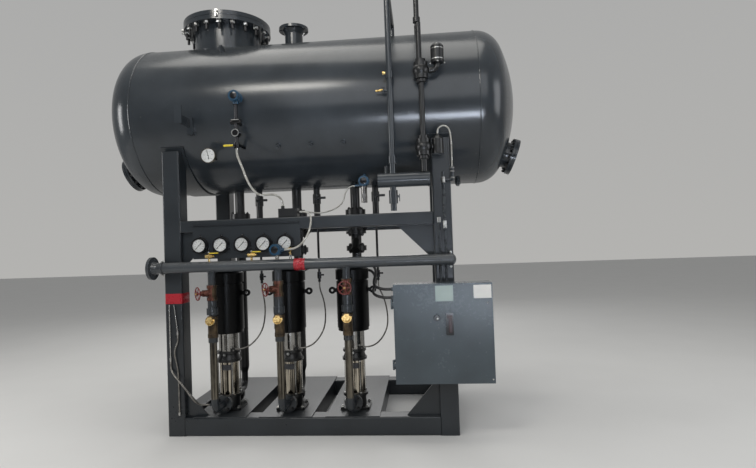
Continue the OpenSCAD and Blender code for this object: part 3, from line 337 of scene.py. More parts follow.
for name, at, size, watts, colour, aim_z, spread in (
        ("front_box", (-1.4, -4.9, 5.9), (1.9, 0.8), 76, (1, 0.97, 0.9), 2.9, 180),
        ("low_box", (1.5, -6.6, 0.36), (2.5, 0.32), 6.5, (0.78, 0.86, 1), 2.75, 36),
        ("wide_box", (1.4, -7.6, 5.4), (7.5, 4.6), 165, (0.95, 0.97, 1), 1.4, 180),
        ("left_box", (-6.0, -3.0, 3.0), (1.4, 2.6), 110, (1, 1, 1), 1.6, 180),
        ("right_box", (6.5, -2.4, 3.2), (2.6, 3.4), 80, (0.95, 0.97, 1), 1.6, 180),
        ("top_box", (-0.2, -0.4, 7.5), (6.0, 3.0), 150, (1, 0.98, 0.93), 1.9, 180),
        ("back_box", (-1.0, 7.0, 4.5), (5.0, 2.0), 120, (1, 1, 1), 1.9, 180)):
    lamp = bpy.data.lights.new(name, "AREA")
    lamp.shape, (lamp.size, lamp.size_y), lamp.energy, lamp.color = "RECTANGLE", size, watts, colour
    lamp.spread = math.radians(spread)
    light = bpy.data.objects.new(name, lamp)
    light.visible_camera = False
    away = np.array(at) - np.array((at[0] * 0.2, 0.0, aim_z))
    away /= np.linalg.norm(away)
    across = np.cross((0, 0, 1), away)
    across /= np.linalg.norm(across)
    stand(light, across, np.cross(away, across), away, at)

# Frame
# Square steel tube, welded and painted dark blue-grey, with gusset plates, channels and plates
# under the pumps. Weld beads run round the joints; red tape is wrapped round the left column.

front = (0, -1, 0)


def shop_paint(name, colour, rough=0.3, dust_and_top_light=0.1, peel=0.2):
    """Sprayed paint: slow clouds and fine specks in the colour, a paler colour where the surface faces up
    (partly dust, partly painted light from above), and an orange-peel bump."""
    material, place, surface = new_material(name)
    cloud, speck = place.noise(2.6, 5.0), place.noise(46.0, 6.0)
    dark, pale = tuple(c * 0.8 for c in colour), tuple(min(1, c * 1.25) for c in colour)
    up = place.node("NewGeometry", out=1).axis(2).between(0.35, 1.0)
    # Upward faces are mixed towards a pale grey: partly dust, partly painted light from above. The fine specks
    # are dust.
    dust_specks_and_top_light = up * cloud.between(0.3, 0.75) * dust_and_top_light + speck.between(0.68, 0.76) * 0.08
    surface(Base_Color=dust_specks_and_top_light.mix(cloud.between(0.3, 0.7).mix(dark, pale), (0.3, 0.29, 0.27)),
            Roughness=rough + cloud * 0.1 + dust_specks_and_top_light * 0.4 + speck * 0.06 - 0.08,
            Normal=place.noise(420.0, 2.0).bump(peel, 0.0006))
    return material


def dress(material, slot, *names):
    """Gives CAD nodes this material. The slot is not used."""
    for name in names:
        nodes[name].data.materials.clear()
        nodes[name].data.materials.append(material)


def together(parts):
    """Several parts as one: the vertices in turn, each part's face numbers shifted by those before it."""
    parts = list(parts)
    starts = np.cumsum([0] + [len(v) for v, _ in parts])
    faces = [tuple(k + start for k in face) for start, (_, part) in zip(starts, parts) for face in part]
    return np.vstack([v for v, _ in parts]), faces


def facing(axis, spin=0.0):
    """A matrix that takes Z to the axis, with X level, turned by spin about it."""
    w = np.asarray(axis, float) / np.linalg.norm(axis)
    u = np.cross((0, 0, 1), w) if abs(w[2]) < 0.999 else np.array((1.0, 0, 0))
    u /= np.linalg.norm(u)
    return np.column_stack([u, np.cross(w, u), w]) @ turn(2, spin)


def put(part, at, axis=(0, 0, 1), spin=0.0):
    """A part made along Z, taken to a place in millimetres and turned to an axis."""
    return np.asarray(part[0]) @ facing(axis, spin).T + np.asarray(at, float) / 1000, part[1]


def turned(profile, sides=32, hollow=False):
    """A turned or hexagonal form: each (height, radius) of the profile, in millimetres, is a ring round Z.
    A hollow form's profile runs back to its first ring; any other form is capped at both ends."""
    z, r = np.asarray(profile, float).T / 1000
    angle = np.linspace(0, 2 * math.pi, sides, endpoint=False)
    ring = np.stack([np.cos(angle), np.sin(angle)], -1)[None] * r[:, None, None]
    heights = np.broadcast_to(z[:, None, None], (len(z), sides, 1))
    return np.dstack([ring, heights]).reshape(-1, 3), grid_faces(len(z), sides, hollow)


def slab(width, height, thick, corner=0.0, bevel=0.0, steps=4):
    """A plate: its outline is a rectangle with quarter-circle corners, carried up through its thickness,
    drawn in by the bevel at both faces. Sizes in millimetres, middle of the back face at the origin."""
    corner = max(corner, bevel + 0.01)
    quarter = np.linspace(0, math.pi / 2, steps)
    angle = (quarter[None] + np.arange(4)[:, None] * math.pi / 2).ravel()
    sx, sy = np.repeat([1, -1, -1, 1], steps), np.repeat([1, 1, -1, -1], steps)
    rings = []
    for z, inset in ((0, bevel), (bevel, 0), (thick - bevel, 0), (thick, bevel)):
        r = corner - inset
        rings.append(np.stack([sx * (width / 2 - corner) + r * np.cos(angle),
                               sy * (height / 2 - corner) + r * np.sin(angle),
                               np.full(len(angle), float(z))], -1))
    return np.vstack(rings) / 1000, grid_faces(4, len(angle))


def bead(points, width):
    """A weld bead: a tube along the line whose radius ripples with the length, a wave every 1.2 widths."""
    path = np.asarray(points, float) / 1000
    run = run_along(path)
    even = np.linspace(0, run[-1], max(3, int(run[-1] / (width * 0.0009))))
    path = np.stack([np.interp(even, run, path[:, k]) for k in range(3)], -1)
    radius = width / 2000 * (1 + 0.14 * np.sin(even * 1000 / width * math.pi * 2 / 1.2))
    return tube_grid(path, radius, 6).reshape(-1, 3), grid_faces(len(path), 6)


def square_bead(at, half, width=7):
    """A bead round a square tube's end, in the plane of its x."""
    x, y, z = at
    corners = [(x, y + i * half, z + k * half) for i, k in ((-1, -1), (1, -1), (1, 1), (-1, 1), (-1, -1))]
    return bead(corners, width)


frame_paint = shop_paint("frame paint", (0.019, 0.023, 0.027))
dress(frame_paint, "frame_paint", "column_front_left", "column_front_right", "rear_columns",
      "base_front_beam", "base_rear_beam", "base_side_beams", "mid_front_beam", "mid_rear_beam",
      "mid_side_beams", "cross_channels", "pump_plates", "saddles", "gauge_board")

bay, column_y, beam_y, base_z, beam_z = 1067, 569, 594, 76, 1761
gusset_top, gusset_foot, gusset_faces = 1709, 1412, (-600.5, -587.5)
plate_half, plate_top = 223.776, 153
fine_weld = 5
welds = []
for side in (-1, 1):
    for y in (-column_y, column_y):
        welds.append(square_bead((side * (bay - 1.5), y, base_z), 74))
    for y in (-beam_y, beam_y):
        welds.append(square_bead((side * (bay - 1.5), y, beam_z), 49))
for side in (-1, 1):
    post, near, tip = side * (bay - 1), side * (bay - 2), side * (bay - 298)
    for y in gusset_faces:
        welds.append(bead([(post, y, gusset_top), (post, y, gusset_foot)], fine_weld))
        welds.append(bead([(near, y, gusset_top), (tip, y, gusset_top)], fine_weld))
for x in pump_xs:
    for edge in (x - plate_half, x + plate_half):
        welds.append(bead([(edge, -644, plate_top), (edge, -500, plate_top)], fine_weld))
mesh_piece("frame_welds", together(welds), frame_paint)

tape_red = shop_paint("red tape", (0.36, 0.014, 0.024), rough=0.28, dust_and_top_light=0.02, peel=0.1)


def wrap(low, high, half, middle, corner, swell, rows=15, sides=32):
    """Tape round a square tube: a rounded square carried up in rings, each swollen by sines of its place."""
    outline = slab(2 * half, 2 * half, 1, corner, 0, sides // 4)[0][:sides, :2] * 1000
    z = np.linspace(low, high, rows)[:, None]
    side = np.arange(sides)[None]
    lumps = np.sin(side * 1.9 + z * 0.11) + np.sin(z * 0.32 + side * 0.4) + 1.6
    flat = outline[None] * (1 + swell * lumps)[..., None] + np.asarray(middle)[None, None]
    heights = np.broadcast_to(z[..., None], (rows, sides, 1))
    return np.dstack([flat, heights]).reshape(-1, 3) / 1000, grid_faces(rows, sides)


mesh_piece("column_tape", wrap(1114, 1200, 76.3, (-1143, -column_y), 14.5, 0.003), tape_red)

# Tank
# A rolled shell with two dished heads, welded, a flanged dome with a bolted cover, the vent
# nozzle and two handholes, all in the same paint; studs and nuts are bright zinc or black.

tank_paint = shop_paint("tank paint", (0.026, 0.031, 0.036), rough=0.2, dust_and_top_light=0.16, peel=0.12)
dress(tank_paint, "frame_paint", "tank_shell", "tank_head_left", "tank_head_right", "dome_neck",
      "dome_cover", "vent_nozzle", "handholes", "tank_fittings", "equalizer_pipe")

tank_r, tank_z, shell_half, dome_x, vent_x = 686, 2787, 1480, -842, -190
round_turn = np.linspace(0, 2 * math.pi, 145)


def seam(x, r):
    """A hoop of weld round the tank at one x."""
    return np.stack([np.full(len(round_turn), float(x)), r * np.cos(round_turn),
                     tank_z + r * np.sin(round_turn)], -1)


def saddle_line(x, r):
    """Where an upright pipe of radius r meets the shell: its height over the tank's axis is the root of
    the shell's radius squared less y squared."""
    y = r * np.sin(round_turn)
    return np.stack([x + r * np.cos(round_turn), y, tank_z + np.sqrt(tank_r ** 2 - y ** 2)], -1)


mesh_piece("tank_seams", together([
    bead(seam(-shell_half, tank_r - 1), 11), bead(seam(shell_half, tank_r - 1), 11),
    bead(saddle_line(dome_x, 306), 12), bead(saddle_line(vent_x, 85), 9)]), tank_paint)


def polar(r, angle, z=0.0):
    """The point at this radius and angle round Z."""
    return np.array((r * math.cos(angle), r * math.sin(angle), z))


def rod(radius, low, high, sides):
    """A plain cylinder from one height to another."""
    return turned([(low, radius), (high, radius)], sides)


def nut(across, height, stud=0.0, reach=0.0):
    """A nut with chamfered corners; the stud's end, if any, stands out of it. Made upwards from its seat."""
    r = across / math.sqrt(3)
    form = [turned([(0, r * 0.93), (height * 0.12, r), (height * 0.85, r), (height, r * 0.88)], 6)]
    if stud:
        top = height + reach
        form.append(turned([(height - 1, stud), (top - 2, stud), (top, stud * 0.8)], 10))
    return together(form)


def ring_of(part, count, radius, at, axis=(0, 0, 1), phase=0.0):
    """Copies of a part on a circle square to the axis."""
    m = facing(axis)
    spots = [phase + k * 2 * math.pi / count for k in range(count)]
    return together(put(part, np.asarray(at) + m @ polar(radius, a), axis, a) for a in spots)


def metal(name, colour, dark, rough, metallic=1.0):
    """Plated or turned metal: clouds between two tones, and a fine grain in the bump."""
    material, place, surface = new_material(name)
    cloud = place.noise(30.0, 5.0)
    surface(Base_Color=cloud.between(0.35, 0.65).mix(dark, colour), Metallic=metallic,
            Roughness=rough + cloud * 0.15, Normal=place.noise(300.0, 3.0).bump(0.2, 0.0004))
    return material


zinc = metal("zinc plate", (0.62, 0.62, 0.6), (0.36, 0.36, 0.35), 0.22)
black_bolt = metal("black bolt", (0.05, 0.05, 0.052), (0.02, 0.02, 0.02), 0.35, 0.6)
bolt_count, bolt_circle, first_bolt = 20, 374.65, 0.16
flange_under, cover_top = (dome_x, 0, 3635.8), (dome_x, 0, 3714.8)
mesh_piece("dome_nuts", ring_of(nut(41, 25), bolt_count, bolt_circle, flange_under, (0, 0, -1), first_bolt),
           zinc)
mesh_piece("dome_studs", together([
    ring_of(turned([(0, 12.5), (78, 12.5), (80, 10)], 12), bolt_count, bolt_circle, flange_under,
            (0, 0, -1), first_bolt),
    ring_of(turned([(-1, 12.5), (0, 12.5), (0.15, 11)], 16), bolt_count, bolt_circle, cover_top,
            (0, 0, 1), first_bolt)]), black_bolt)
lug = together([slab(26, 62, 16, 5, 1.5), put(turned([(0, 12), (22, 12), (24, 9)], 6), (0, 12, 14)),
                put(rod(8, 0, 30, 12), (0, -14, 6))])
mesh_piece("dome_clamps", together(put(lug, (dome_x, 0, 0) + polar(404, a, 3683), polar(1, a))
                                   for a in np.radians((-172, -83))), zinc)

crown_r, crown_rise, head_skirt, handhole_drop, handhole_reach = 1234.8, 341.4, 16, 437, 70
crown_x = shell_half + head_skirt + crown_rise - crown_r
hand_slope = math.asin(handhole_drop / crown_r)
for side, name in ((-1, "left"), (1, "right")):
    out = np.array((side * math.cos(hand_slope), 0, -math.sin(hand_slope)))
    flange = np.array((side * crown_x, 0, tank_z)) + out * (crown_r + handhole_reach)
    mesh_piece("handhole_bolts_" + name, together([
        ring_of(turned([(0, 9), (1.6, 9), (2.2, 7)], 14), 12, 146, flange + out * 24.9, out, 0.26),
        ring_of(nut(26, 15, 9, 6), 12, 146, flange - out * 22, -out, 0.26)]), black_bolt)

# Pumps
# Vertical multistage pumps: cast feet and heads in black paint, polished stainless sleeves held by
# tie rods, bright guards round the couplings and smooth black motors with fan cowls.

pump_black = shop_paint("pump black", (0.005, 0.0054, 0.0058), rough=0.32, dust_and_top_light=0.05)
dress(pump_black, "black_paint", "pump_bases", "pump_heads", "float_column", "float_switches",
      "junction_box", "pressure_gauges", "suction_drops", "bypass_lines")


def polished(name, colour, rough, streaks=90.0):
    """Drawn metal: streaks along Z, from noise squeezed by a Mapping node, in colour and roughness. The colour's
    near-black and bright bands are partly grain and partly painted reflection stripes.
    """
    material, place, surface = new_material(name)
    squeezed = place.node("Mapping", sockets={"Vector": place, "Scale": (streaks, streaks, 1.2)})
    streak, cloud = squeezed.noise(1.0), place.noise(7.0)
    # Dark and bright bands along Z: partly grain, partly painted reflection stripes.
    grain_and_reflection_bands = (streak * 0.8 + cloud * 0.2).between(0.42, 0.56)
    surface(Base_Color=grain_and_reflection_bands.mix(tuple(c * 0.12 for c in colour), colour), Metallic=1.0,
            Roughness=rough + streak * 0.12 + cloud.between(0.5, 0.8) * 0.1)
    return material


stainless = polished("stainless steel", (0.5, 0.45, 0.37), 0.08, 55.0)
bright = polished("bright rod", (0.7, 0.69, 0.66), 0.1)
dress(stainless, "stainless", "pump_sleeves", "tank_thermometer")


def two_part(name, low_z, under, over, rough, ior=1.5):
    """Two finishes on one node: bare metal below a height in metres, paint above it."""
    material, place, surface = new_material(name)
    cloud = place.noise(22.0, 5.0)
    above = place.axis(2) > low_z
    lower = cloud.between(0.3, 0.7).mix(tuple(c * 0.6 for c in under), under)
    upper = cloud.between(0.3, 0.7).mix(tuple(c * 0.75 for c in over), over)
    surface(Base_Color=above.mix(lower, upper), Metallic=above * -1.0 + 1.0,
            Roughness=above * (rough[1] - rough[0]) + rough[0] + cloud * 0.1, IOR=ior)
    return material


motor_black = two_part("motor and guard", 0.8265, (0.34, 0.33, 0.31), (0.0025, 0.0027, 0.003),
                       (0.12, 0.26), ior=1.25)
dress(motor_black, "black_paint", "pump_motors")

eighth = math.pi / 4
rod_foot, rod_length, rod_circle, rod_phase = 292, 283, 95, eighth * 0.75
foot_top, port_z, port_circle, port_thick = 178, 236, 57, 36
box_y, box_z, box_spin, motor_top = -185.3, 1047, 0.087, 1369.2
guard_bars = [turned([(0, r), (3, r), (3, r - 4), (0, r - 4)], 40, hollow=True)
              for r in (28, 42, 56, 70, 84, 98, 111)]
guard_spokes = [put(slab(96, 5, 3), polar(62, a), spin=a) for a in np.arange(6) * math.pi / 3]
grille = together(guard_bars + guard_spokes)
tie_rod, rod_ends = rod(5.5, 0, rod_length, 12), together([nut(19, 11), put(nut(19, 11), (0, 0, 272))])
box_screw = turned([(0, 5), (3, 5), (4, 3)], 10)
badge_angle = np.radians(np.linspace(-122, -58, 17))
badge_arc = np.stack([np.cos(badge_angle), np.sin(badge_angle)], -1)
badge_edges = ((82.4, 505), (83.2, 505), (83.2, 552), (82.4, 552))
badge = np.stack([np.column_stack([badge_arc * r, np.full(17, float(z))]) for r, z in badge_edges], 1)
rods, rod_nuts, foot_bolts, flange_bolts, vents, grilles, covers, badges = ([] for _ in range(8))
for x in pump_xs:
    rods.append(ring_of(tie_rod, 4, rod_circle, (x, pump_y, rod_foot), phase=rod_phase))
    rod_nuts.append(ring_of(rod_ends, 4, rod_circle, (x, pump_y, rod_foot), phase=rod_phase))
    foot_bolts += [put(nut(24, 13, 8, 10), (x + i, pump_y + j, foot_top))
                   for i in (-105, 105) for j in (-86, 86)]
    for y, way in ((-553, -1), (-217, 1)):
        flange_bolts += [
            ring_of(nut(24, 12, 8, 8), 4, port_circle, (x, y, port_z), (0, way, 0), eighth),
            ring_of(nut(24, 12), 4, port_circle, (x, y - way * port_thick, port_z), (0, -way, 0), eighth)]
    vents += [put(nut(14, 12), (x + 54, -465, 697.5)), put(nut(22, 14, 7, 3), (x, -483, 640), (0, -0.95, 0.3))]
    grilles.append(put(grille, (x, pump_y, motor_top)))
    covers.append(put(slab(96, 116, 3, 6, 1), (x + 2, box_y, box_z), (0, 1, 0), box_spin))
    covers += [put(box_screw, (x + 2 + i, box_y + 2.8, box_z + k), (0, 1, 0))
               for i in (-40, 40) for k in (-50, 50)]
    badges.append(((badge.reshape(-1, 3) + (x, pump_y, 0)) / 1000, grid_faces(17, 4)))
mesh_piece("pump_tie_rods", together(rods), bright)
mesh_piece("pump_rod_nuts", together(rod_nuts), zinc)
mesh_piece("pump_foot_bolts", together(foot_bolts), zinc)
mesh_piece("pump_flange_bolts", together(flange_bolts), black_bolt)
mesh_piece("pump_vent_plugs", together(vents), zinc)
mesh_piece("motor_fan_grilles", together(grilles), pump_black)
mesh_piece("motor_box_covers", together(covers), pump_black)
blank_plate = metal("blank badge", (0.07, 0.072, 0.078), (0.04, 0.04, 0.045), 0.3, 0.5)
mesh_piece("pump_blank_badges", together(badges), blank_plate)

# Suction and bypass lines
# Steel pipe down from the tank: bolted gate valve, strainer and reducer into each pump's back port,
# and beside it a lever valve with a vinyl grip. Bolts are black, and the grips are black vinyl.

drop_flanges = ((1894, 1846), (1690, 1666), (1554, 1506))
lever_grips = ((260, -53, 2015, 62, 22), (227, -31, 1289, 40, 15))
drop_bolts, grips = [], []
for x in pump_xs:
    for top, bottom in drop_flanges:
        drop_bolts += [ring_of(nut(26, 14, 8, 9), 4, 76.2, (x, 0, top), phase=eighth),
                       ring_of(nut(26, 14, 8, 9), 4, 76.2, (x, 0, bottom), (0, 0, -1), eighth)]
    drop_bolts += [ring_of(nut(19, 10), 6, 51, (x, 166, 1760), (0, 1, 0)),
                   put(slab(150, 9, 8, 4, 1), (x, 262, 1760), (0, 1, 0))]
    for reach, y, z, length, width in lever_grips:
        grips.append(put(slab(length, width, 11, 5, 2), (x + reach, y, z), front))
mesh_piece("suction_bolts", together(drop_bolts), black_bolt)
vinyl = shop_paint("black vinyl grip", (0.012, 0.012, 0.013), rough=0.45, peel=0.5)
mesh_piece("bypass_grips", together(grips), vinyl)

# Riser pipes, valves and handwheels
# Pipe from each pump up to the header: bare dark pipe above a painted elbow, a bronze check valve
# with a brass cap turned towards the front, and a bronze gate valve with a red cast handwheel.

elbow_top, paint_foot, cap_y, cap_top, bonnet_y, bonnet_foot = 0.335, 0.8, -0.7745, 1.05, -0.752, 1.1
header_y, header_z = -720, 1420

riser_paint, place, surface = new_material("riser pipe")
cloud = place.noise(14.0, 6.0)
bare = (place.axis(2) > elbow_top) * (place.axis(2) < paint_foot)
streak = place.node("Mapping", sockets={"Vector": place, "Scale": (70, 70, 1.5)}).noise(1.0)
# The bare part is dark and pale in streaks along its length.
bare_streaks = (streak * 0.8 + cloud * 0.2).between(0.4, 0.6).mix((0.02, 0.017, 0.014), (0.17, 0.152, 0.12))
surface(Base_Color=bare.mix((0.02, 0.024, 0.028), bare_streaks), Metallic=bare * 0.8,
        Roughness=cloud * 0.2 + 0.2, Normal=place.noise(260.0).bump(0.3, 0.0005))
dress(riser_paint, "frame_paint", "riser_pipes")

bronze, place, surface = new_material("cast bronze")
cloud, fine = place.noise(18.0, 6.0), place.noise(60.0, 6.0)
cap = (place.axis(1) < cap_y) * (place.axis(2) < cap_top)
bonnet = (place.axis(1) < bonnet_y) * (place.axis(2) > bonnet_foot)
body = cloud.between(0.35, 0.7).mix((0.035, 0.026, 0.018), (0.14, 0.1, 0.058))
reddish = fine.between(0.3, 0.7).mix((0.05, 0.018, 0.014), (0.2, 0.085, 0.06))
brassy = fine.between(0.35, 0.65).mix((0.42, 0.26, 0.09), (0.82, 0.62, 0.28))
surface(Base_Color=cap.mix(bonnet.mix(body, reddish), brassy), Metallic=0.85,
        Roughness=0.42 - cap * 0.2 + cloud * 0.1, Normal=place.noise(500.0, 3.0).bump(0.35, 0.0008))
dress(bronze, "bronze", "riser_valves")
brass = metal("brass", (0.8, 0.6, 0.26), (0.45, 0.3, 0.1), 0.2)

hub_reach, rim_depth, rim_r, rim_ridges = 128, 8, 51, 15
wheel_red = shop_paint("handwheel red", (0.13, 0.018, 0.016), rough=0.3, dust_and_top_light=0.05)
rim_ridge = turned([(-4, 3), (-2, 4.6), (2, 4.6), (4, 3)], 10)
for side, x, z, swung in zip(sides_of_three, pump_xs, (1206, 1226, 1226), (45, 45, 0)):
    a = math.radians(swung)
    axis = np.array((-math.sin(a), -math.cos(a), 0))
    wheel, at = facing(axis), np.array((x, header_y, z)) + axis * hub_reach
    dress(wheel_red, "red_paint", "handwheel_" + side)
    mesh_piece("wheel_nut_" + side, put(nut(15, 8, 4, 3), at, axis), brass, "wheel_" + side)
    mesh_piece("wheel_ridges_" + side, together(
        put(rim_ridge, at - axis * rim_depth + wheel @ polar(rim_r, t), wheel @ polar(1, t + math.pi / 2))
        for t in np.arange(rim_ridges) * math.pi * 2 / rim_ridges), wheel_red, "wheel_" + side)

# Discharge header
# Black steel pipe across the front in two bolted clamps, welded branches over the risers, a blind
# weld cap at the right end; red tape is wrapped round it by the transmitter's tap.

# The header's upper side is paler: partly dust, partly painted light from above.
header_paint = shop_paint("header paint", (0.045, 0.05, 0.055), rough=0.24, dust_and_top_light=0.22)
dress(header_paint, "frame_paint", "discharge_header")
header_r, branch_r, clamp_x, clamp_reach = 44.5, 32, 1193, 51.5
branch_x, branch_y = branch_r * np.cos(round_turn[::4]), branch_r * np.sin(round_turn[::4])
branch_z = header_z - np.sqrt(header_r ** 2 - branch_y ** 2)
mesh_piece("header_welds", together(
    bead(np.column_stack([branch_x + x, branch_y + header_y, branch_z]), 8) for x in pump_xs),
    header_paint)
mesh_piece("clamp_bolts", together(
    put(nut(19, 10, 6, 6), (x, header_y, header_z + s * clamp_reach), (0, 0, s))
    for x in (-clamp_x, clamp_x) for s in (-1, 1)), zinc)
tape_x = np.linspace(-72, 18, 19)[:, None]
tape_turn = np.linspace(0, 2 * math.pi, 40, endpoint=False)[None]
lumps = 47.5 + 2.2 * np.sin(tape_turn * 3 + tape_x * 0.12) + 1.3 * np.sin(tape_turn * 7 - tape_x * 0.3)
tape = np.dstack([np.broadcast_to(tape_x, lumps.shape), header_y + lumps * np.cos(tape_turn),
                  header_z + lumps * np.sin(tape_turn)]).reshape(-1, 3) / 1000
mesh_piece("header_tape", (tape, grid_faces(*lumps.shape)), tape_red)

# Gauge board and pressure gauges
# Five gauges on a folded board: black cases with three ears, white dials with a printed scale,
# black needles resting at zero and a glass held by a snap ring.

dial_white = shop_paint("dial white", (0.56, 0.56, 0.54), rough=0.35, dust_and_top_light=0.0, peel=0.02)
print_black = shop_paint("dial print", (0.012, 0.012, 0.012), rough=0.4, dust_and_top_light=0.0, peel=0.02)
gloss_black = shop_paint("gloss black", (0.006, 0.006, 0.007), rough=0.14, dust_and_top_light=0.03, peel=0.05)
glass, place, surface = new_material("dial glass")
surface(Base_Color=place.noise(3.0).mix((0.7, 0.72, 0.72), (0.8, 0.8, 0.8)), Roughness=0.03, Alpha=0.07)


def numeral(text, height):
    """A printed number from Blender's own plain font, as a thin mesh on z = 0, in millimetres."""
    curve = bpy.data.curves.new("numeral", "FONT")
    curve.body, curve.size, curve.align_x, curve.align_y = text, height, "CENTER", "CENTER"
    curve.extrude, curve.resolution_u = 0.1, 2
    shape = bpy.data.objects.new("numeral", curve)
    mesh = shape.to_mesh()
    co = np.zeros(len(mesh.vertices) * 3)
    mesh.vertices.foreach_get("co", co)
    part = co.reshape(-1, 3) / 1000, [tuple(p.vertices) for p in mesh.polygons]
    shape.to_mesh_clear()
    bpy.data.objects.remove(shape)
    return part


def dial(radius, top, count, reading, first=225, sweep=270, fifths=5):
    """A scale clockwise from its first angle over its sweep, in degrees: long ticks at the numbers, four
    short ones between. Gives the printed marks and the needle, both facing +Z."""
    marks = []
    for k in range(count * fifths + 1):
        a = math.radians(first - sweep * k / (count * fifths))
        numbered = k % fifths == 0
        tick = slab(radius * 0.14, 1.5, 0.2) if numbered else slab(radius * 0.08, 0.8, 0.2)
        marks.append(put(tick, polar(radius * (0.88 if numbered else 0.91), a), spin=a))
        if numbered:
            text = str(top * k // (count * fifths))
            marks.append(put(numeral(text, radius * 0.2), polar(radius * 0.66, a, 0.1)))
    a = math.radians(first - sweep * reading)
    needle = [put(slab(radius * 1.25, 5, 0.5, 2.2), polar(radius * 0.28, a, 1.2), spin=a),
              put(slab(radius * 0.36, 8.5, 0.5, 3), polar(-radius * 0.42, a, 1.2), spin=a),
              turned([(0, 5), (3, 5), (4, 3.5)], 20)]
    return together(marks), together(needle)


def on_front(name, part, places, material, body="skid"):
    """A piece made of a part's copies at these places, each facing the front."""
    mesh_piece(name, together(put(part, at, front) for at in places), material, body)


marks, needle = dial(51, 160, 8, 0.0)
gauge_at = np.array([(x, -687.4, 1598) for x in (-889, -706.5, -524, -341.5, -159)])
printed, seat = (0, -0.9, 0), (0, 36, 0)
bezel = turned([(0, 60), (0, 65.4), (5.5, 65.6), (8, 64), (8, 55), (5, 52.8), (1, 52.8)], 64, hollow=True)
ear = together([turned([(-3.5, 10.5), (0, 10.5)], 20), turned([(0, 6), (3, 6), (5, 3)], 14)])
ears = ring_of(ear, 3, 78, (0, 0, 0), phase=math.pi / 2)
on_front("gauge_dials", rod(56.8, 0, 0.8, 48), gauge_at, dial_white)
on_front("gauge_marks", marks, gauge_at + printed, print_black)
on_front("gauge_needles", needle, gauge_at + printed, print_black)
on_front("gauge_bezels", bezel, gauge_at + (0, -1, 0), gloss_black)
on_front("gauge_glass", rod(56.5, 5, 7, 48), gauge_at, glass)
on_front("gauge_ears", ears, gauge_at + seat, gloss_black)
on_front("gauge_zero_screws", rod(3, 0, 2, 12), gauge_at + (-20, -0.9, -27), brass)

# Header cocks and header transmitter
# Two brass ball cocks with yellow vinyl levers feed the gauges; a blue cast housing with two screwed
# lids stands on a stainless stem, beside a brass bleed cock.

dress(brass, "bronze", "small_cocks")
cock_xs, lever_z, stem_top = (-790, -430), 1527.5, 1534
yellow = shop_paint("yellow vinyl", (0.62, 0.47, 0.03), rough=0.35, dust_and_top_light=0.02, peel=0.4)
mesh_piece("cock_levers", together(put(slab(72, 20, 9, 5, 2.5, 6), (x + 42, header_y, lever_z))
                                   for x in cock_xs), yellow)
mesh_piece("cock_nuts", together(put(nut(16, 7, 4, 3), (x, header_y, stem_top)) for x in cock_xs),
           zinc)
blue_tone = (0.016, 0.055, 0.1)
blue = shop_paint("transmitter blue", blue_tone, rough=0.16, dust_and_top_light=0.05)


def housing(name, low_z, at, length, slot, under, lid_r=42.5, ribs=14):
    """Blue paint above a height and bare metal below it, with the lids' ribs, a dark window and a bare
    plate. The ribs lie along Y, evenly round each lid."""
    dress(two_part(name, low_z, under, blue_tone, (0.2, 0.16)), slot, name)
    at, rib, lid = np.array(at), slab(5, 34, 3.4, 1.5, 0.8), length / 2 - 6
    mesh_piece(name + "_lid_ribs", together(
        put(rib, at + (lid_r * math.cos(t), y, lid_r * math.sin(t)), (math.cos(t), 0, math.sin(t)))
        for y in (-lid, lid) for t in np.arange(ribs) * 2 * math.pi / ribs), blue)
    on_front(name + "_window", turned([(0, 29), (1.4, 29), (1.8, 28)], 40),
             [at + (0, -length / 2 - 13.5, 0)], gloss_black)
    mesh_piece(name + "_plate", put(slab(22, 30, 1.2, 2, 0.4), at + (0, 0, 38.6)), zinc)


housing("header_transmitter", 1.4985, (-216, -746, 1542.45), 66, "blue_paint", (0.5, 0.48, 0.44))
bleed_body = turned([(0, 9), (10, 9), (11, 6), (34, 6), (35, 8), (48, 8)], 20)
mesh_piece("bleed_cock", together([
    put(bleed_body, (-104, header_y, 1498)), put(rod(4, -19, 19, 12), (-104, header_y, 1550), (1, 0, 0)),
    put(turned([(0, 5), (26, 5), (28, 3)], 14), (-104, header_y - 8, 1516), front)]), brass)

# Level piping, switches and tank instruments
# Screwed pipe in front of the tank's right end with two float cages and switches, an equalizing pipe
# with brass cocks, a level transmitter on a manifold, a smaller transmitter and a dial thermometer.

housing("level_transmitter", 2.744, (-512, -762, 2806), 76, "stainless", (0.05, 0.05, 0.053))
housing("tank_transmitter", 2.0675, (483, -395, 2112), 60, "stainless", (0.3, 0.29, 0.28))
manifold = (-512, -792, 2506)
manifold_ring = turned([(0, 25), (0, 31), (4, 31), (4, 25)], 40, hollow=True)
mesh_piece("level_manifold_ring", together([
    put(manifold_ring, manifold, front), put(slab(62, 5, 5, 1, 1), (-512, -788, 2612), front)]),
    zinc)
on_front("level_manifold_centre", rod(24.5, 0, 0.8, 32), [manifold], gloss_black)
on_front("level_lever_grip", slab(82, 15, 17, 5, 3, 6), [(-566, -797.5, 2400)], yellow)
marks, needle = dial(54, 250, 5, 0.46)
thermometer_at = np.array([(-786, -692, 2349)])
on_front("thermometer_dial", rod(57.2, 0, 0.8, 48), thermometer_at, dial_white)
on_front("thermometer_marks", marks, thermometer_at + printed, print_black)
on_front("thermometer_needle", needle, thermometer_at + printed, print_black)
on_front("thermometer_glass", rod(57.2, 4, 5.6, 48), thermometer_at, glass)

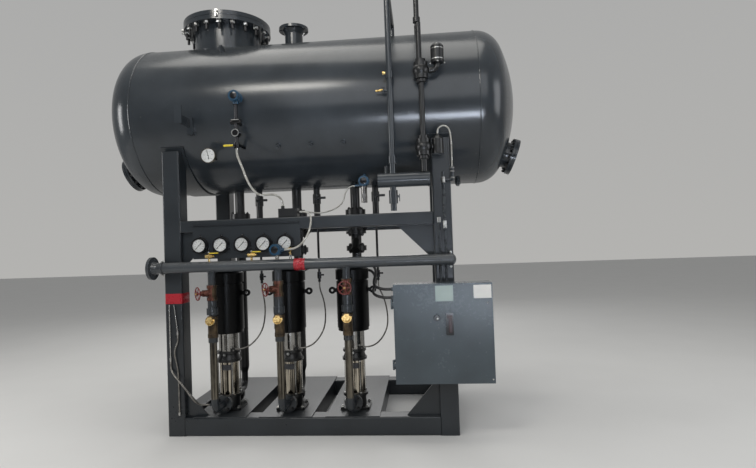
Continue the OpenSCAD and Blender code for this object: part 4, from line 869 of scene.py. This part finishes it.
conduit_paint, place, surface = new_material("painted conduit and bare tube")
tube, cloud = place.axis(0) < 0.0, place.noise(20.0, 5.0)
painted = cloud.mix((0.014, 0.017, 0.02), (0.028, 0.034, 0.04))
surface(Base_Color=tube.mix(painted, cloud.mix((0.3, 0.29, 0.28), (0.62, 0.61, 0.59))), Metallic=tube * 0.9,
        Roughness=cloud * 0.15 + 0.2, Normal=place.noise(300.0).bump(0.1, 0.0004))
dress(conduit_paint, "frame_paint", "rigid_conduits")
mesh_piece("tube_nuts", together(put(turned([(0, 10.2), (14, 10.2), (15, 9)], 6), (x, -654, z))
                                 for x, z in ((-1177, 641), (-1109, 861), (-1111, 184))), zinc)
float_x, float_y, conduit_y = 1142, -745, -661
bands = [put(rod(53, -3, 3, 40), (float_x, float_y, z)) for z in (3012, 3096)]
bands += [ring_of(nut(14, 9), 4, 56, (float_x, float_y, 2979)),
          put(turned([(0, 9), (14, 9), (16, 6)], 16), (float_x, float_y, 3133))]
for x, z, reach in ((1158, 1700, 31), (1112, 1740, 21), (1158, 2062, 23)):
    sleeve = turned([(-reach, 14.5), (1 - reach, 15.8), (reach - 1, 15.8), (reach, 14.5)], 28)
    bands.append(put(sleeve, (x, conduit_y, z)))
bands += [put(turned([(-7, 15), (-6, 18), (6, 18), (7, 15)], 8), (1232, -665, z)) for z in (2156, 2128, 2076)]
mesh_piece("conduit_couplings", together(bands), zinc)
cock = together([turned([(-4, 9), (16, 9), (16, 6), (58, 6), (60, 8), (86, 8)], 20),
                 put(rod(4, 0, 24, 12), (0, 0, 40), (1, 0, 0)),
                 put(slab(30, 9, 4, 4), (24, 0, 40), (1, 0, 0), math.pi / 2)])
plug = turned([(-4, 10), (14, 10), (14, 13), (26, 13), (28, 9)], 6)
mesh_piece("equalizer_cocks", together([put(cock, (726, float_y, 2790), (-1, 0, 0)),
                                        put(plug, (727, float_y, 2930), (-1, 0, 0))]), brass)
lid_x, lid_z, lid_screw = -138, 1848, turned([(0, 5), (2, 5), (3, 3)], 12)
mesh_piece("junction_box_lid", together(
    [put(slab(150, 62, 3, 5, 1), (lid_x, -639, lid_z), front)]
    + [put(lid_screw, (lid_x + x, -642, lid_z + z), front) for x in (-66, 66) for z in (-22, 22)]),
    pump_black)

# Control enclosure
# A welded sheet-steel box in slate paint on the right column, with a hinged door: rolled lip, a
# black latch in a recessed dish, a round knob, and two blank plates where labels go.

door_face, seal_y = -845, -824
slate = shop_paint("slate enclosure paint", (0.055, 0.071, 0.083), rough=0.26, dust_and_top_light=0.06, peel=0.15)
dress(slate, "slate_paint", "enclosure_body", "enclosure_door")
on_front("latch_dish", slab(58, 174, 1.6, 10, 0.6), [(1159, -859, 929.5)],
         gloss_black, "door")
latch_dark = shop_paint("latch handle", (0.035, 0.018, 0.02), rough=0.22, dust_and_top_light=0.05)
mesh_piece("latch_handle", together([put(slab(26, 120, 12, 7, 4, 6), (1164, -860.6, 922), front),
                                     put(slab(40, 30, 8, 6, 3, 6), (1160, -860.6, 985), front)]),
           latch_dark, "door")
on_front("door_knob", turned([(0, 24), (8, 24), (12, 21), (12, 10), (20, 9), (22, 6)], 32),
         [(1062, -862.8, 979)], gloss_black, "door")
# A small zinc disc near the knob's middle stands for the knob's glint: a painted highlight.
on_front("knob_glint_disc", turned([(0, 8), (1.5, 8), (2.5, 6)], 20), [(1066, -884.5, 975)],
         zinc, "door")
plate_white = shop_paint("blank white plate", (0.62, 0.61, 0.58), rough=0.35, dust_and_top_light=0.05, peel=0.02)
plate_grey = shop_paint("blank grey plate", (0.27, 0.33, 0.31), rough=0.3, dust_and_top_light=0.05, peel=0.02)
on_front("blank_white_plate", slab(135, 102, 0.8, 3, 0.3), [(1415.5, door_face, 1171)],
         plate_white, "door")
on_front("blank_grey_plate", slab(137, 120, 0.8, 1, 0.3), [(1124.5, door_face, 1163)],
         plate_grey, "door")
on_front("door_screws", turned([(0, 6), (1.5, 6), (3.2, 4), (3.6, 2)], 16),
         [(1454, door_face, 1084), (1474, door_face, 498)], zinc, "door")
rubber = shop_paint("door seal", (0.01, 0.01, 0.011), rough=0.6, peel=0.3)
seal = [(x, seal_y, z) for x, z in ((738, 476), (1484, 476), (1484, 1230), (738, 1230), (738, 476))]
mesh_piece("door_seal", together(bead(ends, 5) for ends in zip(seal, seal[1:])), rubber)
